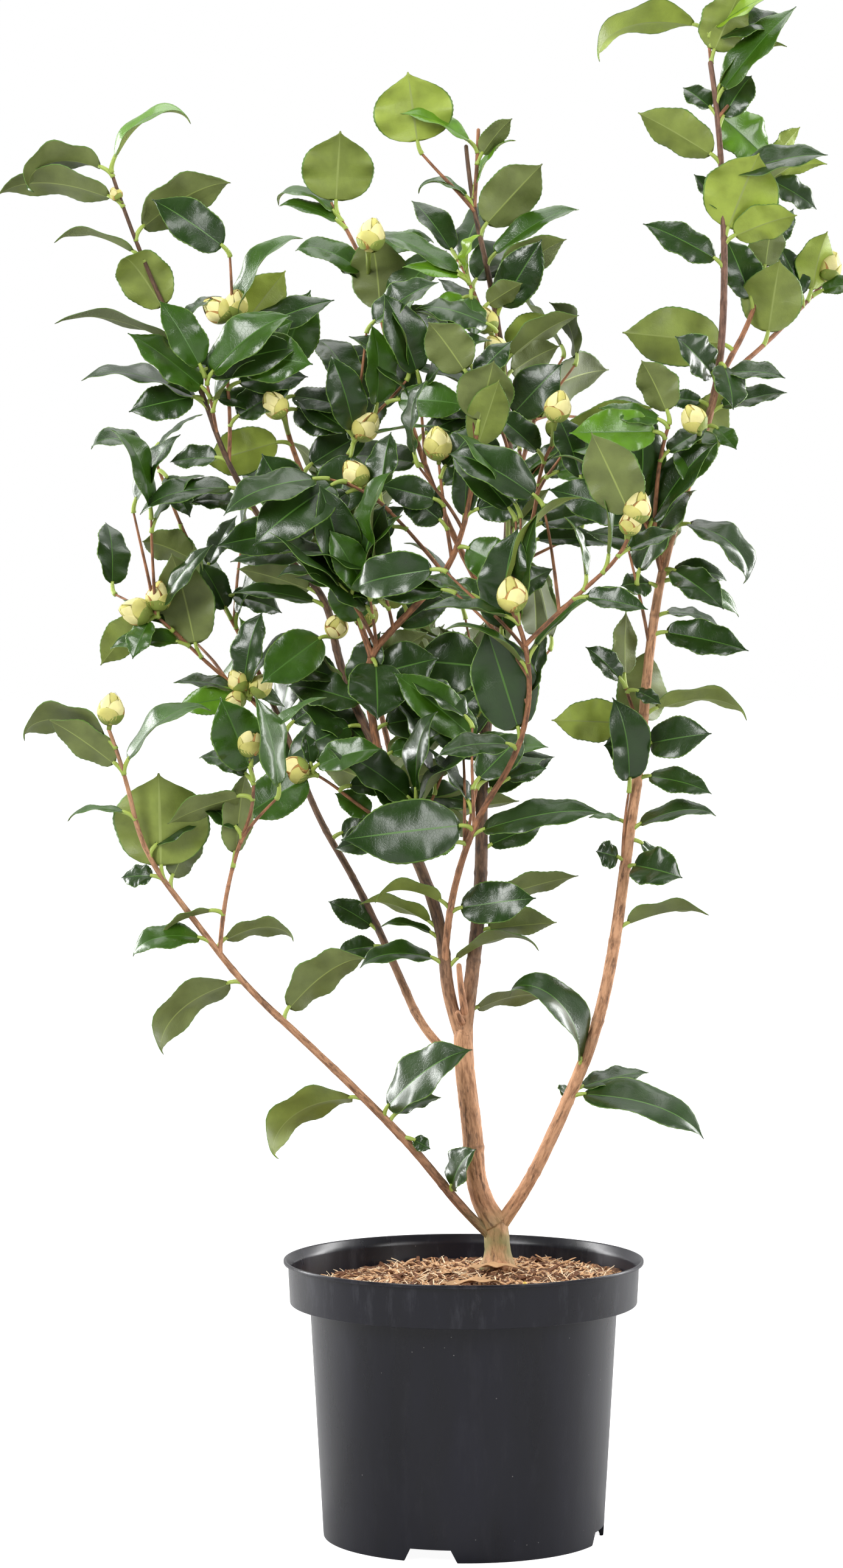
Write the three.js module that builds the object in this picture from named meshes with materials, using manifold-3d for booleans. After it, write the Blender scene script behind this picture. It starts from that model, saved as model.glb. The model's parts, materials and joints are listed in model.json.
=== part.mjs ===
// A young camellia shrub in a round nursery pot. Millimetres, +Z up.
// The origin is the centre of the pot's flat underside. The shrub's broadest side faces -Y.
import * as THREE from 'three';
import { mergeVertices } from 'three/addons/utils/BufferGeometryUtils.js';
import Module from 'manifold-3d';

const wasm = await Module();
wasm.setup();

// ---- Driving dimensions -------------------------------------------------------------------

const GAP = 0.35;                 // clearance kept between pieces that touch

// Pot: injection-moulded, with a stepped-out band under a rolled rim.
const POT_HEIGHT = 216;
const POT_BASE_RADIUS = 109;
const POT_SHOULDER_RADIUS = 119.5;   // top of the tapered body, under the band
const BAND_HEIGHT = 34;
const BAND_RADIUS = 135;
const BAND_TOP_RADIUS = 136.5;
const RIM_RADIUS = 140;
const RIM_DEPTH = 7;
const WALL = 2.2;
const FLOOR = 3;
const FOOT_RING_WIDTH = 9;           // the solid ring round the floor's edge, with the notches
const FOOT_RING_HEIGHT = 13;
const POT_SIDES = 36;
const NOTCH_COUNT = 4;               // drainage notches round the bottom edge
const FIRST_NOTCH = -14;             // degrees round from the front
const NOTCH_TOP_WIDTH = 32;
const NOTCH_FOOT_WIDTH = 44;
const NOTCH_HEIGHT = 10;
const NOTCH_DEPTH = 5;

// Compost: its surface stands lowest on the left and is heaped round the trunk's foot.
const COMPOST_LOW = 189;
const COMPOST_RISE = 12;             // from the left edge to the right edge
const HEAP_HEIGHT = 8;
const HEAP_WIDTH = 48;
const COMPOST_RINGS = 5;

// Trunk: it stands a little right of the pot's centre and towards the back.
const TRUNK_X = 27;
const TRUNK_Y = 25;
const TRUNK_FOOT_Z = 208;
const ROOT_FLARE = 4;                // extra radius at the flat cut
const FLARE_HEIGHT = 9;

// A limb is grown from its foot in short steps. `lean` holds its sideways lean from upright at
// even stations along it, in degrees, to the right when positive, and `back` its lean away from
// the shrub's front. `from` and `at` say where it leaves its parent, and `radii` are at its
// foot and its tip.
const RING_STEP = 44;
const LIMBS = [
  { name: 'trunk', length: 36, lean: [0, -6], back: [0, 0], radii: [10.4, 9.6], sides: 12, step: 7 },
  { name: 'stem_centre', from: 'trunk', at: 1, length: 152, radii: [9.2, 8.2], sides: 9,
    lean: [-35, -3, -8, -1], back: [-2, -2] },
  { name: 'stem_right', from: 'trunk', at: 0.86, length: 790, radii: [6.0, 2.8], sides: 8,
    lean: [38, 25, 22, 11, 7, 8, 4, 8, 17, 18, 4, -1], back: [-3, -2, -2] },
  { name: 'bough_left_low', from: 'trunk', at: 0.6, length: 410, radii: [4.3, 2.2], sides: 6,
    lean: [-47, -37, -43, -45, -46, -38, -35], back: [-14, -14] },
  { name: 'stem_right_centre', from: 'stem_centre', at: 1, length: 556, radii: [6.4, 2.6], sides: 8,
    lean: [9, 6, 0, 5, 9, 3, -2, -8], back: [8, 8] },
  { name: 'stem_left_centre', from: 'stem_centre', at: 0.98, length: 238, radii: [5.6, 4.6], sides: 8,
    lean: [-24, -4, -20, -27, -7], back: [5, 5] },
  { name: 'bough_left_thin', from: 'stem_centre', at: 0.84, length: 318, radii: [3.9, 2.6], sides: 6,
    lean: [-58, -24, -25, -32, -19, -26], back: [17, 17] },
  { name: 'bough_left_fork', from: 'stem_left_centre', at: 1, length: 156, radii: [3.9, 3.0], sides: 6,
    lean: [-30, -21, -9, -52], back: [7, 7] },
  { name: 'stem_upper_left', from: 'bough_left_fork', at: 1, length: 290, radii: [2.8, 1.8], sides: 6,
    lean: [-40, -31, -18, -25, -19], back: [-16, -16] },
  { name: 'bough_centre', from: 'stem_left_centre', at: 0.98, length: 242, radii: [3.7, 2.2], sides: 6,
    lean: [-8, -11, 43, 45, 20, 8], back: [-4, -8, -26, -26] },
  { name: 'bough_left_upper', from: 'bough_centre', at: 0.31, length: 150, radii: [2.8, 2.3], sides: 6,
    lean: [-18, -21, -20, -24], back: [8, 10] },
  { name: 'bough_front', from: 'stem_left_centre', at: 0.26, length: 326, radii: [3.2, 2.0], sides: 6,
    lean: [2, 10, 20, 33, 13, -8, -28], back: [-26, -26] },
  { name: 'bough_front_fork', from: 'bough_front', at: 0.89, length: 104, radii: [2.0, 1.6], sides: 6,
    lean: [44, 47, 48, 34], back: [-20, -20] },
  { name: 'bough_centre_upper', from: 'stem_right_centre', at: 0.59, length: 320, radii: [2.9, 1.9], sides: 6,
    lean: [-32, -27, -22, -18, -16, -14, -24], back: [8, 10, 16, 20] },
  { name: 'bough_right_side', from: 'stem_right', at: 0.68, length: 92, radii: [2.2, 1.7], sides: 6,
    lean: [-20, 0, 5], back: [-24, -24] },
  { name: 'bough_right_fork', from: 'stem_right', at: 0.866, length: 72, radii: [2.6, 2.1], sides: 6,
    lean: [25, 30, 24], back: [30, 32] },
  { name: 'bough_left_low_shoot', from: 'bough_left_low', at: 0.79, length: 116, radii: [2.0, 1.5], sides: 6,
    lean: [3, 12, 22], back: [-19, -19] },
  { name: 'bough_back_low', from: 'stem_right_centre', at: 0.14, length: 214, radii: [3.2, 2.0], sides: 6,
    lean: [6, 2, 4], back: [44, 40, 34] },
  { name: 'bough_back_left', from: 'stem_left_centre', at: 0.74, length: 200, radii: [3.0, 1.9], sides: 6,
    lean: [-6, -14, -12], back: [46, 40, 32] },
  { name: 'bough_back_upper', from: 'stem_right_centre', at: 0.72, length: 120, radii: [2.4, 1.8], sides: 6,
    lean: [10, 18], back: [42, 36] },
];

// A mass of foliage is an uneven closed solid: its centre, its half sizes along its own length,
// its depth and its width, and the lean of its length from upright, sideways.
const LUMP_HEIGHT = 0.2;             // how far the lumps stand out, as a share of the half sizes
const MASS_GAP = 3;                  // least way between neighbouring masses
const MASS_DETAIL = 2;
const MASSES = [
  { name: 'mass_right_top', centre: [200, -22, 1090], half: [94, 38, 70], lean: 18 },
  { name: 'mass_right_upper', centre: [228, 46, 944], half: [74, 40, 66], lean: 10 },
  { name: 'mass_right_middle', centre: [146, -34, 832], half: [64, 42, 76], lean: 0 },
  { name: 'mass_right_low', centre: [134, -8, 656], half: [92, 32, 58], lean: 4 },
  { name: 'mass_upper_left_tip', centre: [-270, -48, 1062], half: [48, 26, 88], lean: 0 },
  { name: 'mass_left_upper', centre: [-196, -18, 936], half: [62, 34, 90], lean: 0 },
  { name: 'mass_left_middle', centre: [-206, 26, 822], half: [52, 32, 78], lean: 0 },
  { name: 'mass_left_side', centre: [-214, 136, 712], half: [52, 28, 80], lean: 0 },
  { name: 'mass_left_low_tip', centre: [-268, -106, 586], half: [66, 26, 54], lean: -30 },
  { name: 'mass_left_low_shoot', centre: [-158, -124, 602], half: [46, 22, 30], lean: 0 },
  { name: 'mass_left_inner', centre: [-146, 112, 626], half: [42, 28, 50], lean: 0 },
  { name: 'mass_centre_upper', centre: [-104, 150, 1030], half: [68, 38, 58], lean: -20 },
  { name: 'mass_centre_top', centre: [-4, 110, 1048], half: [90, 42, 76], lean: 0 },
  { name: 'mass_centre_high', centre: [-44, 34, 906], half: [60, 46, 74], lean: 0 },
  { name: 'mass_centre_front', centre: [10, -76, 846], half: [58, 36, 60], lean: 0 },
  { name: 'mass_centre_left', centre: [-100, -24, 764], half: [58, 38, 60], lean: 0 },
  { name: 'mass_centre_right', centre: [72, 62, 800], half: [66, 36, 44], lean: 0 },
  { name: 'mass_front_low', centre: [12, -92, 706], half: [64, 32, 58], lean: 0 },
  { name: 'mass_front_fork', centre: [130, -150, 800], half: [30, 26, 34], lean: 30 },
  { name: 'mass_centre_low', centre: [-14, 0, 596], half: [44, 38, 86], lean: 0 },
  { name: 'mass_low_sprigs', centre: [4, -16, 480], half: [32, 20, 60], lean: 0 },
  { name: 'mass_back_low', centre: [16, 190, 700], half: [68, 46, 76], lean: 0 },
  { name: 'mass_back_left', centre: [-110, 196, 822], half: [64, 44, 70], lean: 0 },
  { name: 'mass_back_upper', centre: [44, 190, 890], half: [64, 42, 68], lean: 0 },
];

// ---- Finishes -----------------------------------------------------------------------------

const finish = (color, roughness) => new THREE.MeshStandardMaterial({ color, roughness, metalness: 0 });
const BLACK_PLASTIC = () => finish(0x30333a, 0.5);
const COIR_COMPOST = () => finish(0xa07d5f, 1);
const BARK = () => finish(0xa5825f, 0.85);
const YOUNG_BARK = () => finish(0x8a5c3c, 0.8);
const FOLIAGE = () => finish(0x3d5a33, 0.5);

// ---- Solids and meshes --------------------------------------------------------------------

function toSolid(geometry) {
  const bare = geometry.clone();
  bare.deleteAttribute('normal');
  bare.deleteAttribute('uv');
  const merged = mergeVertices(bare, 1e-4);
  return new wasm.Manifold(new wasm.Mesh({
    numProp: 3,
    vertProperties: new Float32Array(merged.attributes.position.array),
    triVerts: new Uint32Array(merged.index.array),
  }));
}

// A cut can leave crumbs beside the main piece, so only the largest one is kept.
function toMesh(name, solid, material) {
  const pieces = solid.decompose().sort((a, b) => b.volume() - a.volume());
  const cut = pieces[0].getMesh();
  const geometry = new THREE.BufferGeometry();
  geometry.setAttribute('position', new THREE.BufferAttribute(cut.vertProperties, 3));
  geometry.setIndex(new THREE.BufferAttribute(cut.triVerts, 1));
  geometry.computeVertexNormals();
  const mesh = new THREE.Mesh(geometry, material);
  mesh.name = name;
  return mesh;
}

// ---- Pot ----------------------------------------------------------------------------------

const SHOULDER_Z = POT_HEIGHT - BAND_HEIGHT;
const LEDGE_Z = SHOULDER_Z + WALL;

function lathe(profile, sides) {
  const geometry = new THREE.LatheGeometry(profile.map(([r, z]) => new THREE.Vector2(r, z)), sides);
  return geometry.rotateX(Math.PI / 2);
}

function wallRadius(z) {
  return POT_BASE_RADIUS + (POT_SHOULDER_RADIUS - POT_BASE_RADIUS) * (z / SHOULDER_Z);
}

function potSolid() {
  const rimFoot = POT_HEIGHT - RIM_DEPTH;
  const shell = toSolid(lathe([
    [0, 0],
    [POT_BASE_RADIUS - 2, 0],
    [POT_BASE_RADIUS, 2],
    [POT_SHOULDER_RADIUS, SHOULDER_Z],
    [BAND_RADIUS, SHOULDER_Z],
    [BAND_TOP_RADIUS, rimFoot],
    [RIM_RADIUS, rimFoot + 1.5],
    [RIM_RADIUS, POT_HEIGHT - 1.5],
    [RIM_RADIUS - 1.5, POT_HEIGHT],
    [BAND_TOP_RADIUS - WALL, POT_HEIGHT],
    [BAND_RADIUS - WALL, LEDGE_Z],
    [POT_SHOULDER_RADIUS - WALL, LEDGE_Z],
    [wallRadius(FOOT_RING_HEIGHT) - WALL, FOOT_RING_HEIGHT],
    [POT_BASE_RADIUS - FOOT_RING_WIDTH, FOOT_RING_HEIGHT],
    [POT_BASE_RADIUS - FOOT_RING_WIDTH, FLOOR],
    [0, FLOOR],
  ], POT_SIDES));
  let solid = shell;
  for (let i = 0; i < NOTCH_COUNT; i += 1) {
    const outline = new THREE.Shape([
      new THREE.Vector2(-NOTCH_FOOT_WIDTH / 2, -1),
      new THREE.Vector2(NOTCH_FOOT_WIDTH / 2, -1),
      new THREE.Vector2(NOTCH_TOP_WIDTH / 2, NOTCH_HEIGHT),
      new THREE.Vector2(-NOTCH_TOP_WIDTH / 2, NOTCH_HEIGHT),
    ]);
    const notch = new THREE.ExtrudeGeometry(outline, { depth: NOTCH_DEPTH + 6, bevelEnabled: false });
    notch.rotateX(Math.PI / 2);
    notch.translate(0, -POT_BASE_RADIUS + NOTCH_DEPTH, 0);
    notch.rotateZ(THREE.MathUtils.degToRad(FIRST_NOTCH + (i / NOTCH_COUNT) * 360));
    solid = solid.subtract(toSolid(notch));
  }
  return solid;
}

// ---- Compost ------------------------------------------------------------------------------

function compostHeight(x, y) {
  const reach = BAND_RADIUS;
  const slope = COMPOST_LOW + COMPOST_RISE * (0.5 + 0.4 * (x / reach) + 0.1 * (y / reach));
  const away = Math.hypot(x - TRUNK_X, y - TRUNK_Y);
  const heap = HEAP_HEIGHT * Math.exp(-((away / HEAP_WIDTH) ** 2));
  const crumble = 1.1 * Math.sin(x * 0.11 + 1) * Math.cos(y * 0.13) + 0.7 * Math.sin(x * 0.05 - y * 0.19);
  const top = slope + heap + crumble * Math.min(1, away / HEAP_WIDTH);
  return Math.min(top, TRUNK_FOOT_Z - GAP - 0.5);
}

function compostSolid() {
  const inside = WALL + GAP;
  const outer = BAND_RADIUS - inside;
  const profile = [
    [0, FLOOR + GAP],
    [POT_BASE_RADIUS - FOOT_RING_WIDTH - GAP, FLOOR + GAP],
    [POT_BASE_RADIUS - FOOT_RING_WIDTH - GAP, FOOT_RING_HEIGHT + GAP],
    [wallRadius(FOOT_RING_HEIGHT) - inside, FOOT_RING_HEIGHT + GAP],
    [POT_SHOULDER_RADIUS - inside, LEDGE_Z + GAP],
    [outer, LEDGE_Z + GAP],
  ];
  for (let i = 0; i <= COMPOST_RINGS; i += 1) {
    profile.push([outer * (1 - i / COMPOST_RINGS), COMPOST_LOW]);
  }
  const geometry = lathe(profile, POT_SIDES);
  const points = geometry.attributes.position;
  for (let i = 0; i < points.count; i += 1) {
    if (points.getZ(i) > COMPOST_LOW - 1) {
      points.setZ(i, compostHeight(points.getX(i), points.getY(i)));
    }
  }
  return toSolid(geometry);
}

// ---- Limbs --------------------------------------------------------------------------------

// The value at share t along a list of stations spaced evenly from 0 to 1.
function along(stations, t) {
  const place = t * (stations.length - 1);
  const i = Math.min(Math.floor(place), stations.length - 2);
  return stations[i] + (stations[i + 1] - stations[i]) * (place - i);
}

function heading(lean, back) {
  const side = THREE.MathUtils.degToRad(lean);
  const depth = THREE.MathUtils.degToRad(back);
  return new THREE.Vector3(
    Math.sin(side) * Math.cos(depth), Math.sin(depth), Math.cos(side) * Math.cos(depth));
}

function grow(limb, foot) {
  const steps = Math.max(4, Math.round(limb.length / (limb.step ?? RING_STEP)));
  const points = [foot.clone()];
  for (let i = 0; i < steps; i += 1) {
    const t = (i + 0.5) / steps;
    const way = heading(along(limb.lean, t), along(limb.back, t));
    points.push(points[i].clone().addScaledVector(way, limb.length / steps));
  }
  return points;
}

function radiusAt(limb, t) {
  const taper = along(limb.radii, t);
  const flare = limb.from ? 0 : ROOT_FLARE * Math.exp(-(t * limb.length) / FLARE_HEIGHT);
  return taper + flare;
}

// A tapering limb through its points: rings of sides between two capped ends. The first ring of
// the trunk lies flat, so that it is cut level with the ground.
function limbGeometry(limb, points, extra) {
  const count = points.length;
  const positions = [];
  const faces = [];
  const right = new THREE.Vector3(1, 0, 0);
  points.forEach((point, i) => {
    const way = points[Math.min(i + 1, count - 1)].clone().sub(points[Math.max(i - 1, 0)]).normalize();
    if (i === 0 && !limb.from) way.set(0, 0, 1);
    const across = right.clone().addScaledVector(way, -right.dot(way)).normalize();
    const deep = way.clone().cross(across);
    const radius = radiusAt(limb, i / (count - 1)) + extra;
    for (let k = 0; k < limb.sides; k += 1) {
      const angle = (k / limb.sides) * 2 * Math.PI;
      const spot = point.clone()
        .addScaledVector(across, radius * Math.cos(angle))
        .addScaledVector(deep, radius * Math.sin(angle));
      positions.push(spot.x, spot.y, spot.z);
    }
  });
  const footCentre = count * limb.sides;
  const tipCentre = footCentre + 1;
  positions.push(...points[0].toArray(), ...points[count - 1].toArray());
  for (let k = 0; k < limb.sides; k += 1) {
    const next = (k + 1) % limb.sides;
    for (let i = 0; i + 1 < count; i += 1) {
      const low = i * limb.sides;
      const high = low + limb.sides;
      faces.push(low + k, low + next, high + k, low + next, high + next, high + k);
    }
    const top = (count - 1) * limb.sides;
    faces.push(footCentre, next, k, tipCentre, top + k, top + next);
  }
  const geometry = new THREE.BufferGeometry();
  geometry.setAttribute('position', new THREE.Float32BufferAttribute(positions, 3));
  geometry.setIndex(faces);
  return geometry;
}

function meets(a, b) {
  const p = a.boundingBox();
  const q = b.boundingBox();
  return [0, 1, 2].every((i) => p.min[i] < q.max[i] && q.min[i] < p.max[i]);
}

// Each limb starts on its parent's centre line, and is then cut back from the limbs before it.
function growLimbs() {
  const grown = new Map();
  for (const limb of LIMBS) {
    let foot = new THREE.Vector3(TRUNK_X, TRUNK_Y, TRUNK_FOOT_Z);
    if (limb.from) {
      const parent = grown.get(limb.from).points;
      const place = limb.at * (parent.length - 1);
      const i = Math.min(Math.floor(place), parent.length - 2);
      foot = parent[i].clone().lerp(parent[i + 1], place - i);
    }
    const points = grow(limb, foot);
    let solid = toSolid(limbGeometry(limb, points, 0));
    const sleeve = toSolid(limbGeometry(limb, points, GAP * 1.6));
    for (const other of grown.values()) {
      if (meets(solid, other.sleeve)) solid = solid.subtract(other.sleeve);
    }
    grown.set(limb.name, { limb, points, solid, sleeve });
  }
  return grown;
}

// ---- Foliage masses -----------------------------------------------------------------------

function massGeometry(mass, seed, extra) {
  const geometry = new THREE.IcosahedronGeometry(1, MASS_DETAIL);
  geometry.deleteAttribute('normal');
  geometry.deleteAttribute('uv');
  const shape = mergeVertices(geometry, 1e-4);
  const points = shape.attributes.position;
  const spot = new THREE.Vector3();
  const swing = THREE.MathUtils.degToRad(mass.lean);
  for (let i = 0; i < points.count; i += 1) {
    spot.fromBufferAttribute(points, i).normalize();
    const lump = Math.sin(3.1 * spot.x + 1.7 * seed) * Math.cos(3.7 * spot.z - 2.3 * seed)
      + 0.6 * Math.sin(5.3 * spot.y + 3.9 * spot.z + seed) * Math.cos(4.7 * spot.x + 0.8 * seed);
    const reach = 1 + LUMP_HEIGHT * lump;
    spot.multiplyScalar(reach);
    spot.set(spot.x * (mass.half[2] + extra), spot.y * (mass.half[1] + extra), spot.z * (mass.half[0] + extra));
    spot.applyAxisAngle(new THREE.Vector3(0, 1, 0), swing);
    points.setXYZ(i, spot.x + mass.centre[0], spot.y + mass.centre[1], spot.z + mass.centre[2]);
  }
  return shape;
}

function shapeMasses(limbs) {
  const shaped = [];
  MASSES.forEach((mass, i) => {
    let solid = toSolid(massGeometry(mass, i + 1, 0));
    for (const { sleeve } of limbs.values()) {
      if (meets(solid, sleeve)) solid = solid.subtract(sleeve);
    }
    for (const other of shaped) {
      if (meets(solid, other.room)) solid = solid.subtract(other.room);
    }
    shaped.push({ name: mass.name, solid, room: toSolid(massGeometry(mass, i + 1, MASS_GAP)) });
  });
  return shaped;
}

// ---- The shrub ----------------------------------------------------------------------------

const group = new THREE.Group();
group.add(toMesh('pot', potSolid(), BLACK_PLASTIC()));
group.add(toMesh('compost', compostSolid(), COIR_COMPOST()));
const limbs = growLimbs();
for (const { limb, solid } of limbs.values()) {
  group.add(toMesh(limb.name, solid, limb.radii[0] > 5 ? BARK() : YOUNG_BARK()));
}
for (const { name, solid } of shapeMasses(limbs)) {
  group.add(toMesh(name, solid, FOLIAGE()));
}

export default group;
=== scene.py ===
"""A young camellia shrub in its black nursery pot: bark, leaves, buds, compost and pot."""

import json
import math

import bpy
import numpy as np
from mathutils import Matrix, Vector
from mathutils.bvhtree import BVHTree

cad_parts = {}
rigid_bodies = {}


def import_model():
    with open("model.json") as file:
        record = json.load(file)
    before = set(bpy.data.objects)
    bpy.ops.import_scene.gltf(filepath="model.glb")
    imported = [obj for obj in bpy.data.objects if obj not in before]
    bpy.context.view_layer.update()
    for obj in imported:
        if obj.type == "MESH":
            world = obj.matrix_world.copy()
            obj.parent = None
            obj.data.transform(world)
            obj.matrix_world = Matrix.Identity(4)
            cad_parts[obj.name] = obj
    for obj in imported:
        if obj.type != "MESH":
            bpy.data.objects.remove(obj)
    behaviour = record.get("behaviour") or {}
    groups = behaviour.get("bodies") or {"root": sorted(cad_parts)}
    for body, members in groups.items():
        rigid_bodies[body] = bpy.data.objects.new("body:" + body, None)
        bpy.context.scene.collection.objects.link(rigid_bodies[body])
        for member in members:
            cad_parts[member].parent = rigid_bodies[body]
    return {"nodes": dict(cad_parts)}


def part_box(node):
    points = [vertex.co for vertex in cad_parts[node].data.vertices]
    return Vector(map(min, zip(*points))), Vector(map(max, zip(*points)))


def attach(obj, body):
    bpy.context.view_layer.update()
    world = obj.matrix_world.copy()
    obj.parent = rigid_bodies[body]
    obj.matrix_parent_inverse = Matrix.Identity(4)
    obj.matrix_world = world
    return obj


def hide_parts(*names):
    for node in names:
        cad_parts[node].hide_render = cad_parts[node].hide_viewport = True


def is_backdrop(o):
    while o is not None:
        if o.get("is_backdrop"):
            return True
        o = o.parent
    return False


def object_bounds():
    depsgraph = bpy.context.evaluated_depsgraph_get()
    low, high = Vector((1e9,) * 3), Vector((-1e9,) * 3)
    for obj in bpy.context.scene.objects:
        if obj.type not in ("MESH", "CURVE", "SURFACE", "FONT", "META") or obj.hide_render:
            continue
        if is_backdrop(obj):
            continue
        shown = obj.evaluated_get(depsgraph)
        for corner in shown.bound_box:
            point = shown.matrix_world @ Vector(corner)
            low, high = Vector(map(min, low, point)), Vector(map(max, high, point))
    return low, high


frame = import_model()
CAD_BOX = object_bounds()
MM = 0.001  # lengths are worked out in millimetres, and meshes are made in metres

# ---- Camera and studio --------------------------------------------------------------------
# A long lens well back from the plant, level with the middle of its crown, so that leaves above
# that height show their undersides. Soft boxes stand round a white sweep that is lit all over.

STAND_BACK = 3493 * MM
LENS_HEIGHT = 725 * MM
LENS_SIDE = -32.7 * MM
LENS_DIP = 2.29  # degrees below level
FOCAL_LENGTH = 103.64  # on a 36 mm sensor
CLIP_END = 60
GLOW_IN_FRONT = 0.08  # of the studio round the plant, which only its reflections see
GLOW_BEHIND = 0.72
SWEEP_GLOW = 0.95
SWEEP_REACH = 30000
LIGHTS = [
    # name, watts, width and height in metres, place, what it faces
    ("key_soft_box", 84, (1.1, 1.6), (-1.7, -2.2, 2.2), (0, 0, 0.7)),
    ("fill_soft_box", 44, (1.0, 1.6), (2.2, -1.9, 1.5), (0, 0, 0.6)),
    ("left_edge_light", 64, (0.5, 2.2), (-2.1, 1.0, 1.0), (0, 0, 0.5)),
    ("right_edge_light", 64, (0.5, 2.2), (2.1, 1.0, 1.0), (0, 0, 0.5)),
    ("top_light", 36, (2.0, 2.0), (0, 0.3, 2.9), (0, 0, 0.5)),
]


def linear(colour):
    """An sRGB hex value as linear red, green, blue and 1."""
    parts = [int(colour[i : i + 2], 16) / 255 for i in (0, 2, 4)]
    return tuple(c / 12.92 if c <= 0.04045 else ((c + 0.055) / 1.055) ** 2.4 for c in parts) + (1.0,)


def add(tree, kind, inputs=None, stops=(), **settings):
    """A node of that kind with its settings, its inputs set or linked, and a ramp's two stops."""
    made = tree.nodes.new(kind)
    for name, value in settings.items():
        setattr(made, name, value)
    for i, (place, colour) in enumerate(stops):
        made.color_ramp.elements[i].color = linear(colour)
        made.color_ramp.elements[i].position = place
    for name, value in (inputs or {}).items():
        socket = made.inputs[name]
        if isinstance(value, bpy.types.NodeSocket):
            tree.links.new(value, socket)
        else:
            socket.default_value = value
    return made


def facing(place, aim):
    """The turn that points an object's own -Z from its place at its aim."""
    way = [aim[i] - place[i] for i in range(3)]
    return Vector(way).to_track_quat("-Z", "Y").to_euler()


camera = bpy.data.objects.new("camera", bpy.data.cameras.new("camera"))
camera.location = (LENS_SIDE, -STAND_BACK, LENS_HEIGHT)
camera.rotation_euler = (math.radians(90 - LENS_DIP), 0, 0)
camera.data.lens = FOCAL_LENGTH
camera.data.clip_end = CLIP_END
bpy.context.scene.collection.objects.link(camera)
bpy.context.scene.camera = camera
bpy.context.scene.view_settings.view_transform = "Standard"

for name, watts, size, place, aim in LIGHTS:
    light = bpy.data.lights.new(name, "AREA")
    light.shape = "RECTANGLE"
    light.size, light.size_y = size
    light.energy = watts
    lamp = bpy.data.objects.new(name, light)
    lamp.location = place
    lamp.rotation_euler = facing(place, aim)
    bpy.context.scene.collection.objects.link(lamp)

world = bpy.data.worlds.new("white_studio")
bpy.context.scene.world = world
world.use_nodes = True
world.node_tree.nodes.clear()
seen = add(world.node_tree, "ShaderNodeBackground", {"Color": linear("ffffff"), "Strength": 1.0})
around = add(world.node_tree, "ShaderNodeTexCoord")
to_the_back = add(world.node_tree, "ShaderNodeSeparateXYZ", {"Vector": around.outputs["Generated"]})
glow = add(world.node_tree, "ShaderNodeMapRange", {
    "Value": to_the_back.outputs["Y"], "From Min": -0.7, "From Max": 0.6,
    "To Min": GLOW_IN_FRONT, "To Max": GLOW_BEHIND})
lit = add(world.node_tree, "ShaderNodeBackground", {
    "Color": linear("ffffff"), "Strength": glow.outputs[0]})
path = add(world.node_tree, "ShaderNodeLightPath")
mix = add(world.node_tree, "ShaderNodeMixShader", {
    0: path.outputs["Is Camera Ray"], 1: lit.outputs[0], 2: seen.outputs[0]})
add(world.node_tree, "ShaderNodeOutputWorld", {"Surface": mix.outputs[0]})


def material(name):
    """A new material with its tree and its shader, linked to the output."""
    made = bpy.data.materials.new(name)
    made.use_nodes = True
    made.node_tree.nodes.clear()
    shader = add(made.node_tree, "ShaderNodeBsdfPrincipled")
    add(made.node_tree, "ShaderNodeOutputMaterial", {"Surface": shader.outputs[0]})
    return made, made.node_tree, shader


def mesh_object(name, points, faces, materials, numbers=None, smooth=True):
    """A piece from points in millimetres and triangles, with a material number for each."""
    mesh = bpy.data.meshes.new(name)
    faces = np.asarray(faces, np.int32)
    mesh.vertices.add(len(points))
    mesh.vertices.foreach_set("co", (np.asarray(points) * MM).astype(np.float32).ravel())
    mesh.loops.add(faces.size)
    mesh.loops.foreach_set("vertex_index", faces.ravel())
    mesh.polygons.add(len(faces))
    mesh.polygons.foreach_set("loop_start", np.arange(0, faces.size, 3, dtype=np.int32))
    if numbers is not None:
        mesh.polygons.foreach_set("material_index", np.asarray(numbers, np.int32))
    mesh.polygons.foreach_set("use_smooth", np.full(len(faces), smooth))
    for made in materials:
        mesh.materials.append(made)
    mesh.update()
    piece = bpy.data.objects.new(name, mesh)
    bpy.context.scene.collection.objects.link(piece)
    return piece


def sweep_floor():
    """The white sweep: clipped to white where it is seen, and only pale grey in what it lights."""
    made, tree, shader = material("white_sweep")
    shader.inputs["Base Color"].default_value = linear("b4b4b4")
    shader.inputs["Roughness"].default_value = 0.9
    shader.inputs["Emission Color"].default_value = linear("ffffff")
    path = add(tree, "ShaderNodeLightPath")
    glow = add(tree, "ShaderNodeMapRange", {"Value": path.outputs["Is Camera Ray"], "To Max": SWEEP_GLOW})
    tree.links.new(glow.outputs[0], shader.inputs["Emission Strength"])
    points = [[x * SWEEP_REACH, y * SWEEP_REACH, 0] for y in (-1, 1) for x in (-1, 1)]
    floor = mesh_object("floor", points, [[0, 1, 2], [1, 3, 2]], [made])
    floor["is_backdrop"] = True


sweep_floor()

# ---- Pot ----------------------------------------------------------------------------------
# A round nursery pot of black polypropylene, injection-moulded in one shot: a tapered body, a
# stepped-out band that stacks on the next pot, a thin flared lip, and a channel round its foot
# that drains through notches in the skirt.

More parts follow.
